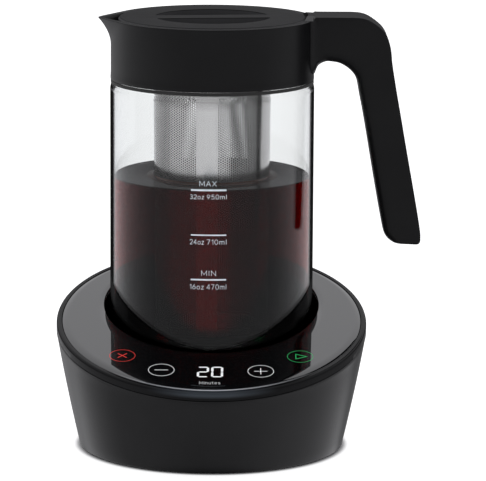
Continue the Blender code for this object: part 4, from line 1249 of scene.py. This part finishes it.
def beak(t, r, tip):
    if tip <= r + 0.02:
        return r
    off = abs(((t - pi) + pi) % (2 * pi) - pi)
    off = sqrt(off * off + 0.0016)
    full = acos(r / tip)
    return r if off >= full else r / cos(full - off)


def spout_tip(z):
    if z <= SPOUT_START:
        return JUG_R
    f = min(1.0, (z - SPOUT_START) / (COLLAR_TOP - 0.2 - SPOUT_START))
    return JUG_R + (SPOUT_TIP - JUG_R) * f ** 1.9


def channel(z):
    z_low = 224.0
    return BORE_R + (63.3 - BORE_R) * max(0.0, (z - z_low) / (COLLAR_TOP - z_low))


def collar_angles():
    """Even steps all round, finer about the beak."""
    out = [i * 2.0 for i in range(71)]
    out += [142 + i * 1.0 for i in range(77)]
    out += [220 + i * 2.0 for i in range(70)]
    return sorted(set(radians(a) for a in out if a < 360))


def collar_loop(r, tip, z):
    return [(beak(t, r, tip) * cos(t), JY + beak(t, r, tip) * sin(t), z) for t in COLLAR_T]


COLLAR_T = collar_angles()

GRIP = [
    (54.6, 244.4, 54.6, 212.8), (57.4, 244.4, 57.2, 211.8), (60.0, 244.4, 59.5, 216.4),
    (64.0, 244.4, 63.5, 218.7), (70.0, 244.4, 67.5, 218.7), (78.5, 244.4, 71.8, 217.8),
    (86.0, 243.5, 75.9, 215.5), (92.5, 239.8, 78.8, 212.8), (97.6, 234.6, 80.6, 210.2),
    (100.3, 226.7, 82.0, 206.0), (101.4, 217.5, 83.3, 199.0), (103.8, 203.0, 85.4, 188.5),
    (106.8, 186.5, 87.9, 174.5), (110.5, 166.0, 91.0, 156.5), (114.3, 145.5, 94.2, 138.5),
    (117.4, 128.0, 96.5, 126.5), (118.6, 119.5, 97.9, 120.4), (118.5, 115.8, 100.3, 116.8),
    (117.2, 113.9, 104.0, 114.4),
]


def grip_half(i):
    f = max(0.0, min(1.0, (i - 5) / 10.0))
    return (HANDLE_W + (HANDLE_W_TIP - HANDLE_W) * f) / 2


def spline(p0, p1, p2, p3, t):
    """Centripetal-like smooth curve through stations (Catmull-Rom)."""
    return tuple(0.5 * ((2 * b) + (c - a) * t + (2 * a - 5 * b + 4 * c - d) * t * t
                        + (3 * b - a - 3 * c + d) * t ** 3) for a, b, c, d in zip(p0, p1, p2, p3))


def grip_at(u):
    """Outer point, inner point and half width at u stations along the grip."""
    i = min(int(u), len(GRIP) - 2)
    t = u - i
    g = lambda k: GRIP[max(0, min(len(GRIP) - 1, k))]
    p0 = g(i - 1) if i > 0 else tuple(2 * a - b for a, b in zip(GRIP[0], GRIP[1]))
    p3 = g(i + 2) if i + 2 < len(GRIP) else tuple(2 * a - b for a, b in zip(GRIP[-1], GRIP[-2]))
    ox, oz, ix, iz = spline(p0, g(i), g(i + 1), p3, t)
    w = grip_half(i) + (grip_half(min(i + 1, len(GRIP) - 1)) - grip_half(i)) * t
    oz = min(oz, HANDLE_TOP)
    ox = min(ox, 118.6)
    return Vector((ox, oz)), Vector((ix, iz)), w


ROOT_F = 8.0                  # radius that blends the grip's sides into the collar


def root_width(x, w):
    """Half width near the collar, flared by a fillet between the side and the wall."""
    xc = sqrt((JUG_R + ROOT_F) ** 2 - (w + ROOT_F) ** 2)
    if x >= xc:
        return w
    return w + ROOT_F - sqrt(max(0.0, ROOT_F ** 2 - (xc - x) ** 2))


def grip_section(o, q, w, edge=0.0, start=None, seg=6):
    """Closed section between the inner point q and the outer point o."""
    span = (o - q).length
    u = (o - q) / span
    ri, ro = min(6.0, span * 0.32, w * 0.6), 0.85
    pts = []
    lines = 5
    corners = ((ri, -(w - ri), 270, ri), (ri, w - ri, 180, ri),
               (span - ro, w - ro, 90, ro), (span - ro, -(w - ro), 0, ro))
    for c, (cd, cw, a0, r) in enumerate(corners):
        for k in range(seg + 1):
            a = radians(a0 - 90.0 * k / seg)
            pts.append((cd + r * cos(a), cw + r * sin(a)))
        # even points along the straight to the next corner
        nd, nw, na, nr = corners[(c + 1) % 4]
        a = radians(na)
        nx = (nd + nr * cos(a), nw + nr * sin(a))
        last = pts[-1]
        for k in range(1, lines):
            pts.append((last[0] + (nx[0] - last[0]) * k / lines,
                        last[1] + (nx[1] - last[1]) * k / lines))
    out = []
    for d, y in pts:
        if edge:
            c = span / 2
            d = c + (d - c) * (1 - edge * 2 / span)
            y = y * (1 - edge / w)
        p = q + u * d
        x, yy = p.x, y
        z = p.y
        if x < 63.0:
            yy = y * root_width(max(x, 54.0), w) / w
            over = min(1.0, max(0.0, abs(yy) - w))   # the flare stays under the collar's rim
            z = min(z, HANDLE_TOP - (HANDLE_TOP - COLLAR_TOP + 0.1) * over)
        if start is not None:                       # the first ring lies on a cylinder
            x = sqrt(max(1.0, start ** 2 - yy ** 2))
        out.append((x, JY + yy, z))
    return out


def make_collar():
    loops = []
    z0 = COLLAR_BOTTOM
    for r, z in ((JUG_R - 0.02, z0), (JUG_R + 0.10, z0 + 0.05), (JUG_R + 0.14, z0 + 0.20),
                 (JUG_R + 0.16, z0 + 1.3), (JUG_R + 0.08, z0 + 2.6), (JUG_R, z0 + 4.2),
                 (JUG_R, 214.0), (JUG_R, 219.0), (JUG_R, 223.0)):
        loops.append(collar_loop(r, 0, z))
    for k in range(1, 15):
        z = 225.0 + (242.1 - 225.0) * k / 14
        loops.append(collar_loop(JUG_R, spout_tip(z), z))
    # eased outer edge
    for k in range(1, 9):
        a = k / 8 * pi / 2
        z = 242.2 + (COLLAR_TOP - 242.2) * sin(a)
        r = JUG_R - 0.4 * (1 - cos(a))
        tip = spout_tip(z) - 0.4 * (1 - cos(a))
        loops.append(collar_loop(r, tip, z))
    loops += [collar_loop(54.3, 64.0, COLLAR_TOP), collar_loop(53.75, 63.6, COLLAR_TOP - 0.08),
              collar_loop(53.4, 63.3, COLLAR_TOP - 0.35), collar_loop(53.4, channel(240.0), 240.0),
              collar_loop(53.4, channel(238.8), 238.75), collar_loop(53.1, channel(238.6), 238.45),
              collar_loop(BORE_R + 0.2, channel(238.3), 238.3),
              collar_loop(BORE_R, channel(238.1), 238.0)]
    for z in (235.0, 232.0, 229.0, 226.5):
        loops.append(collar_loop(BORE_R, channel(z), z))
    loops += [collar_loop(BORE_R, 0, 224.0), collar_loop(BORE_R, 0, 215.4),
              collar_loop(BORE_R + 0.2, 0, 215.2), collar_loop(NECK_R + GAP, 0, 215.2),
              collar_loop(NECK_R + GAP, 0, 212.2), collar_loop(53.7, 0, 211.98),
              collar_loop(54.4, 0, 211.6), collar_loop(55.05, 0, 211.1), collar_loop(55.6, 0, 210.5),
              collar_loop(56.0, 0, 209.7), collar_loop(56.3, 0, 208.9),
              collar_loop(56.52, 0, COLLAR_BOTTOM + 0.3), collar_loop(56.65, 0, COLLAR_BOTTOM)]
    ob = put("collar_and_grip", Shape().loft(loops, ring=True), SATIN)

    rows = []
    o, q, w = grip_at(0.0)
    rows.append(grip_section(o, q, w, start=54.0))
    steps = []
    for i in range(len(GRIP) - 1):
        k = 6 if i < 11 else 5
        steps += [i + j / k for j in range(k)]
    steps = [s for s in steps if s >= 0.3]
    for s in steps:
        rows.append(grip_section(*grip_at(s)))
    last = len(GRIP) - 1
    for e, s in ((0.0, last - 0.35), (0.12, last - 0.2), (0.5, last - 0.07), (1.1, last)):
        rows.append(grip_section(*grip_at(s), edge=e))
    rows = [r for k, r in enumerate(rows)]
    grip = tool(Shape().loft(rows))
    cut(ob, grip, op="UNION", sharp=38)

    def insert_rows(side, near, far, ends, corner):
        a, b = 5, 14
        us = [a + ends + (b - a - 2 * ends) * k / 54 for k in range(55)]
        out = []
        for n_, u in enumerate(us):
            o, q, w = grip_at(u)
            d = (o - q).normalized()
            h = w - 6.4 + side
            e = min(u - us[0], us[-1] - u) * 16.0      # rounded ends
            if e < corner:
                h -= corner - sqrt(max(0.0, corner ** 2 - (corner - e) ** 2))
            lp = []
            for dd, y in ((near, -h), (far, -h), (far, h), (near, h)):
                p = q + d * dd
                lp.append((p.x, JY + y, p.y))
            out.append(lp)
        return out

    cut(ob, tool(Shape().flat_cap_loft(insert_rows(GAP, -2.0, 2.1, 0.30, 2.3))), sharp=38)
    settle(ob, "carafe", "satin_black", "collar")

    rows = insert_rows(0.0, 0.05, 1.8, 0.34, 2.0)
    ins = put("grip_pad", Shape().flat_cap_loft(rows), GRIPM)
    bev = ins.modifiers.new("edge", "BEVEL")
    bev.width, bev.segments, bev.limit_method, bev.angle_limit = 0.00028, 3, "ANGLE", radians(50)
    dg = bpy.context.evaluated_depsgraph_get()
    me = bpy.data.meshes.new_from_object(ins.evaluated_get(dg))
    ins.modifiers.clear()
    ins.data = me
    me.shade_smooth()
    me.set_sharp_from_angle(angle=radians(40))
    settle(ins, "carafe", "grip_black", "grip_insert")

    turn_piece("neck_seal", [(57.15, 205.8), (57.45, 205.9), (57.45, 207.7), (56.5, 207.7),
                             (56.78, 206.7)], "carafe", RUBBER, "rubber", ["collar_seal"], r=0.13, seg=3)
    turn_piece("rim_gasket", [(51.4, 213.5), (53.1, 213.5), (53.1, 214.9), (51.4, 214.9)],
               "carafe", SILICONE, "silicone", ["rim_seal"], r=0.5, seg=4)


make_glass()
make_coffee()
make_collar()


# ================================================================== lid
def wedge(r0, r1, half, z0, z1, at=180.0, n=24, ease=0.0):
    a = [radians(at - half + 2 * half * i / n) for i in range(n + 1)]
    rows = []
    for z in (z0, z1):
        pts = [(r1 * cos(t), JY + r1 * sin(t), z) for t in a]
        pts += [(r0 * cos(t), JY + r0 * sin(t), z) for t in reversed(a)]
        rows.append(pts)
    return tool(Shape().flat_cap_loft(rows))


def make_lid():
    ob = put("plug", turned(Shape(), [
        (34.2, PLUG_BOTTOM), (49.6, PLUG_BOTTOM), (PLUG_R, 214.6), (PLUG_R, 216.5), (48.9, 216.5),
        (48.9, 219.9), (PLUG_R, 219.9), (PLUG_R, PLUG_TOP), (47.2, PLUG_TOP), (47.2, 216.0),
        (34.2, 216.0)], N, r=0.3), LIDM)
    tools = [wedge(46.0, 52.0, 20.0, 223.5, 236.5)]
    tools += [wedge(38.6, 45.0, 11.0, 213.0, 217.0, at, 16) for at in (150, 180, 210)]
    tools += [wedge(30.0, 37.0, 9.5, 213.0, 217.0, at, 12) for at in (0, 120, 240)]
    cut(ob, *tools)
    settle(ob, "lid", "lid_black", "lid_plug")
    turn_piece("plug_gasket", [(49.2, 216.8), (50.3, 216.9), (50.9, 217.3), (50.5, 217.8),
                               (50.5, 218.6), (50.9, 219.1), (50.3, 219.5), (49.2, 219.6)],
               "lid", SILICONE, "silicone", ["lid_gasket"], r=0.25, seg=3)

    ob = put("dial", turned(Shape(), [
        (0, 228.2), (33.6, 228.2), (34.4, 229.0), (34.4, 238.9), (52.4, 238.9), (LID_R, 239.6),
        (LID_R, 241.9, 0.9), (52.1, LID_TOP, 0.9), (0, LID_TOP)], N, r=0.4, seg=5), DIALM)

    def outline(grow, z, side):
        """Finger recess: a segment of a circle, grown or shrunk evenly."""
        R, b = RECESS_R + grow, BAR / 2 - grow
        e = asin(b / R)
        s = 1 if side == 0 else -1
        pts = []
        na, nb = 72, 36
        for k in range(na + 1):
            t = e + (pi - 2 * e) * k / na
            pts.append((R * cos(t), R * sin(t)))
        x1 = R * cos(e)
        for k in range(1, nb):
            pts.append((-x1 + 2 * x1 * k / nb, b))
        out = []
        c, q = cos(radians(BAR_TURN)), sin(radians(BAR_TURN))
        for x, y in pts:
            y *= s
            out.append((x * c - y * q, JY + x * q + y * c, z))
        return out if s == 1 else out[::-1]

    for side in (0, 1):
        rows = []
        rf, re = 1.6, 0.25
        for k in range(7):
            a = k / 6 * pi / 2
            rows.append(outline(-rf * (1 - sin(a)), RECESS_FLOOR + rf * (1 - cos(a)), side))
        rows.append(outline(0.0, 236.0, side))
        for k in range(6):
            a = k / 5 * pi / 2
            rows.append(outline(re * (1 - cos(a)), LID_TOP - re + re * sin(a), side))
        rows.append(outline(re, LID_TOP + 3.0, side))
        cut(ob, tool(Shape().flat_cap_loft(rows)), sharp=38)
    settle(ob, "dial", "lid_black", "lid_dial")

    ob = put("shutter", turned(Shape(), [(44.6, 216.3), (46.9, 216.3), (46.9, 238.6), (44.6, 238.6)],
                               N, r=0.3), LIDM)
    cut(ob, wedge(43.0, 48.0, 20.0, 223.5, 236.5))
    settle(ob, "dial", "lid_black", "pour_shutter")


def make_filter():
    ob = put("basket_neck", turned(Shape(), [
        (30.9, 206.5), (36.9, 206.5), (37.5, 207.2), (37.5, 213.7), (33.9, 213.7), (33.9, 218.4),
        (30.9, 218.4)], N, r=0.3), FILTERM)
    cut(ob, *[wedge(32.0, 36.6, 8.0, 216.3, 218.0, at, 12) for at in (90, 210, 330)], op="UNION")
    settle(ob, "filter", "filter_black", "filter_neck")
    turn_piece("basket_base", [(0, 64.0), (1.8, 64.0), (1.8, 60.5), (31.0, 60.5), (32.6, 61.8),
                               (32.6, 64.3), (31.2, 64.3), (31.2, 66.2), (0, 66.2)],
               "filter", FILTERM, "filter_black", ["filter_base"], r=0.3)
    turn_piece("pivot_pin", [(0, 54.0), (3.0, 54.0), (3.0, 54.8), (1.5, 54.8), (1.5, 63.6), (0, 63.6)],
               "filter", BRIGHT, "stainless_bright", ["stirrer_pin"], n=48, r=0.2)


def make_basket():
    """Stainless sheet with staggered holes, three plain strips down its height and plain
    margins. Each cell of the stagger is a hexagon: plain, or ringed round a hole."""
    turns = 172
    pitch = 1.37
    rows = 100
    c = 2 * pi / turns
    z_low = BASKET_LOW + 1.8
    t_sheet = 0.40
    hole_r = 0.47
    strip = 5                                       # half width of a plain strip, in columns
    front = turns * 0.75 - 5.25 / 360 * turns       # the strip that faces the user
    centres = [front, front + turns / 3, front + 2 * turns / 3]

    def radius(z):
        return BASKET_R_LOW + (BASKET_R - BASKET_R_LOW) * (z - BASKET_LOW) / (BASKET_TOP - BASKET_LOW)

    def near(k):
        return min(abs((k - s + turns / 2) % turns - turns / 2) for s in centres)

    bounds = [ceil(s) for s in centres]
    bounds = sorted(b % turns for b in bounds)
    panels = []
    for i in range(3):
        a, b = bounds[i], bounds[(i + 1) % 3]
        panels.append(list(range(a, b if b > a else b + turns)))

    for pi_, cols in enumerate(panels):
        verts, faces, index = [], [], {}

        def vid(kx3, zz):
            """Vertex at column thirds kx3 and half-pitch level zz, shared between cells."""
            key = (kx3, zz)
            if key not in index:
                index[key] = len(verts)
                verts.append((kx3 / 3.0 * c, z_low + zz * pitch / 2))
            return index[key]

        for k in cols:
            odd = k % 2
            for j in range(rows):
                zc = 2 * j + 1 + odd                # centre level in half pitches
                cell = [vid(3 * k + 2, zc), vid(3 * k + 1, zc + 1), vid(3 * k - 1, zc + 1),
                        vid(3 * k - 2, zc), vid(3 * k - 1, zc - 1), vid(3 * k + 1, zc - 1)]
                if near(k) <= strip or j < 2 or j > rows - 3:
                    faces.append(tuple(cell))
                    continue
                th, zz = k * c, z_low + zc * pitch / 2
                hole = []
                for q in range(6):
                    a = q * pi / 3
                    hole.append(len(verts))
                    verts.append((th + hole_r * cos(a) / radius(zz), zz + hole_r * sin(a)))
                for q in range(6):
                    p = (q + 1) % 6
                    faces.append((cell[q], cell[p], hole[p], hole[q]))
        # margins above and below, out to the sheet's straight edges
        for top in (False, True):
            ztop = BASKET_TOP - 0.1 if top else BASKET_LOW
            line = []
            for k in cols:
                odd = k % 2
                zc = (2 * (rows - 1) + 1 + odd + 1) if top else (1 + odd - 1)
                line += [vid(3 * k - 1, zc), vid(3 * k + 1, zc)]
            flat = []
            for v in line:
                flat.append(len(verts))
                verts.append((verts[v][0], ztop))
            for i in range(len(line) - 1):
                f = (line[i], line[i + 1], flat[i + 1], flat[i])
                faces.append(f if top else tuple(reversed(f)))
        # outer skin, inner skin and the walls of every edge
        vv = np.array(verts)
        n = len(vv)
        rr = BASKET_R_LOW + (BASKET_R - BASKET_R_LOW) * (vv[:, 1] - BASKET_LOW) / (BASKET_TOP - BASKET_LOW)
        outer = np.stack([rr * np.cos(vv[:, 0]), JY + rr * np.sin(vv[:, 0]), vv[:, 1]], 1)
        ri = rr - t_sheet
        inner = np.stack([ri * np.cos(vv[:, 0]), JY + ri * np.sin(vv[:, 0]), vv[:, 1]], 1)
        edges = set()
        for f in faces:
            for i in range(len(f)):
                edges.add((f[i], f[(i + 1) % len(f)]))
        out = list(faces)
        out += [tuple(n + i for i in reversed(f)) for f in faces]
        out += [(b, a, n + a, n + b) for a, b in edges if (b, a) not in edges]
        sh = Shape()
        sh.v = np.concatenate([outer, inner]).tolist()
        sh.f = out
        ob = put("basket_sheet_%d" % (pi_ + 1), sh, MESHM, 40, recalc=False)
        # the sheet unrolled: outer skin below, inner skin above, cut edges in a strip
        span, a0 = (vv[:, 0].max() - vv[:, 0].min()), vv[:, 0].min()
        u = 0.01 + 0.98 * (vv[:, 0] - a0) / span
        v = 0.01 + 0.46 * (vv[:, 1] - BASKET_LOW) / (BASKET_TOP - BASKET_LOW)
        loops_v = np.empty(len(ob.data.loops), np.int32)
        ob.data.loops.foreach_get("vertex_index", loops_v)
        face_of = np.repeat(np.arange(len(out)), [len(f) for f in out])
        inside = loops_v >= n
        uu = u[loops_v % n]
        vq = v[loops_v % n] + np.where(inside, 0.48, 0.0)
        edge = face_of >= 2 * len(faces)
        vq = np.where(edge, np.where(inside, 0.99, 0.97), vq)
        layer = ob.data.uv_layers.new(name="OFBake")
        layer.data.foreach_set("uv", np.stack([uu, vq], 1).astype(np.float32).ravel())
        settle(ob, "filter", "stainless_mesh")
        if pi_ == 0:
            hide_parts("filter_basket")


def make_stirrer():
    ob = put("stir_disc", turned(Shape(), [
        (1.8, 55.2), (23.5, 55.2), (24.0, 55.7), (24.0, 57.3), (23.5, 57.8), (7.0, 57.8, 0.8),
        (6.6, 60.1), (1.8, 60.1)], 128, r=0.25), FILTERM)
    for k in range(4):
        a = radians(45 + 90 * k)
        rows = []
        for z, s in ((57.2, 1.0), (59.6, 1.0), (59.9, 0.7)):
            pts = []
            for q in range(13):
                b = -pi / 2 + pi * q / 12
                pts.append((22.0 + 1.0 * s * cos(b), s * sin(b)))
            pts += [(6.0, s), (6.0, -s)]
            rows.append([(x * cos(a) - y * sin(a), JY + x * sin(a) + y * cos(a), z) for x, y in pts])
        ob = cut(ob, tool(Shape().loft(rows)), op="UNION")
    tools = []
    for i, a in enumerate((0, 180)):
        c = (14.0 * cos(radians(a)), JY + 14.0 * sin(radians(a)))
        tools.append(tool(turned(Shape(), [(0, 54.0), (4.4, 54.0), (4.4, 59.0), (0, 59.0)], 48, c,
                                 soft=False)))
    cut(ob, *tools)
    settle(ob, "stirrer", "filter_black", "stirrer")
    for i, a in enumerate((0, 180)):
        c = (14.0 * cos(radians(a)), JY + 14.0 * sin(radians(a)))
        turn_piece("stir_magnet_%d" % (i + 1), [(0, 55.4), (4.1, 55.4), (4.1, 57.6), (0, 57.6)],
                   "stirrer", NICKEL, "magnet_nickel", ["stirrer_magnet_%d" % (i + 1)], n=48,
                   centre=c, r=0.3)


make_lid()
make_filter()
make_basket()
make_stirrer()


# ================================================================== inside the base
def make_inside():
    turn_piece("motor_can", [(0, 7.0), (13.2, 7.0), (14.0, 7.8), (14.0, 27.4), (13.2, 28.2),
                             (4.0, 28.2), (4.0, 30.0), (1.8, 30.0), (1.8, 24.0), (0, 24.0)],
               "base", ZINC, "zinc_steel", ["motor"], n=96, r=0.35)
    br = put("bracket", turned(Shape(), [(4.3, 28.5), (25.0, 28.5), (25.0, 30.0), (4.3, 30.0)],
                               128, r=0.25), ZINC)
    tools = []
    for i, a in enumerate((30, 150, 270)):
        c = (20.5 * cos(radians(a)), JY + 20.5 * sin(radians(a)))
        tools.append(tool(turned(Shape(), [(0, 27.0), (1.8, 27.0), (1.8, 31.0), (0, 31.0)], 40, c,
                                 soft=False)))
        turn_piece("post_%d" % (i + 1), [(1.7, 4.2), (3.4, 4.2), (3.4, 28.2), (1.7, 28.2)], "base",
                   NYLON, "white_plastic", ["motor_post_%d" % (i + 1)], n=40, centre=c, r=0.25)
        turn_piece("bracket_screw_%d" % (i + 1),
                   [(0, 20.6), (1.4, 20.6), (1.4, 30.3), (2.9, 30.3), (2.9, 31.2), (2.3, 32.0),
                    (0, 32.0)], "base", ZINC, "zinc_steel", ["motor_screw_%d" % (i + 1)], n=40,
                   centre=c, r=0.3)
    cut(br, *tools)
    settle(br, "base", "zinc_steel", "motor_bracket")

    turn_piece("shaft", [(0, 24.3), (1.5, 24.3), (1.5, 38.7), (0, 38.7)], "drive", BRIGHT,
               "stainless_bright", ["motor_shaft"], n=40, r=0.3)
    turn_piece("hub", [(0, 39.2), (1.8, 39.2), (1.8, 33.5), (5.0, 33.5), (5.0, 37.2), (20.6, 37.2),
                       (20.6, 40.2), (0, 40.2)], "drive", NYLON, "white_plastic", ["drive_hub"],
               n=96, r=0.3)
    for i, a in enumerate((0, 180)):
        c = (14.0 * cos(radians(a)), JY + 14.0 * sin(radians(a)))
        turn_piece("hub_magnet_%d" % (i + 1), [(0, 40.5), (5.5, 40.5), (5.5, 44.6), (0, 44.6)],
                   "drive", NICKEL, "magnet_nickel", ["drive_magnet_%d" % (i + 1)], n=56, centre=c,
                   r=0.4)


make_inside()

KEPT = {
    "control_board": BOARDM, "board_post_1": NYLON, "board_post_2": NYLON,
    "board_screw_1": ZINC, "board_screw_2": ZINC, "display_module": DISPLAYM,
    "touch_pad_1": RUBBER, "touch_pad_2": RUBBER, "touch_pad_3": RUBBER, "touch_pad_4": RUBBER,
    "processor_chip": BLACKCOMP, "driver_chip": BLACKCOMP, "buzzer": BLACKCOMP,
    "inlet_lead": WIREM, "motor_lead": WIREM,
}
for name, mat in KEPT.items():
    ob = NODES[name]
    ob.data.materials.clear()
    ob.data.materials.append(mat)
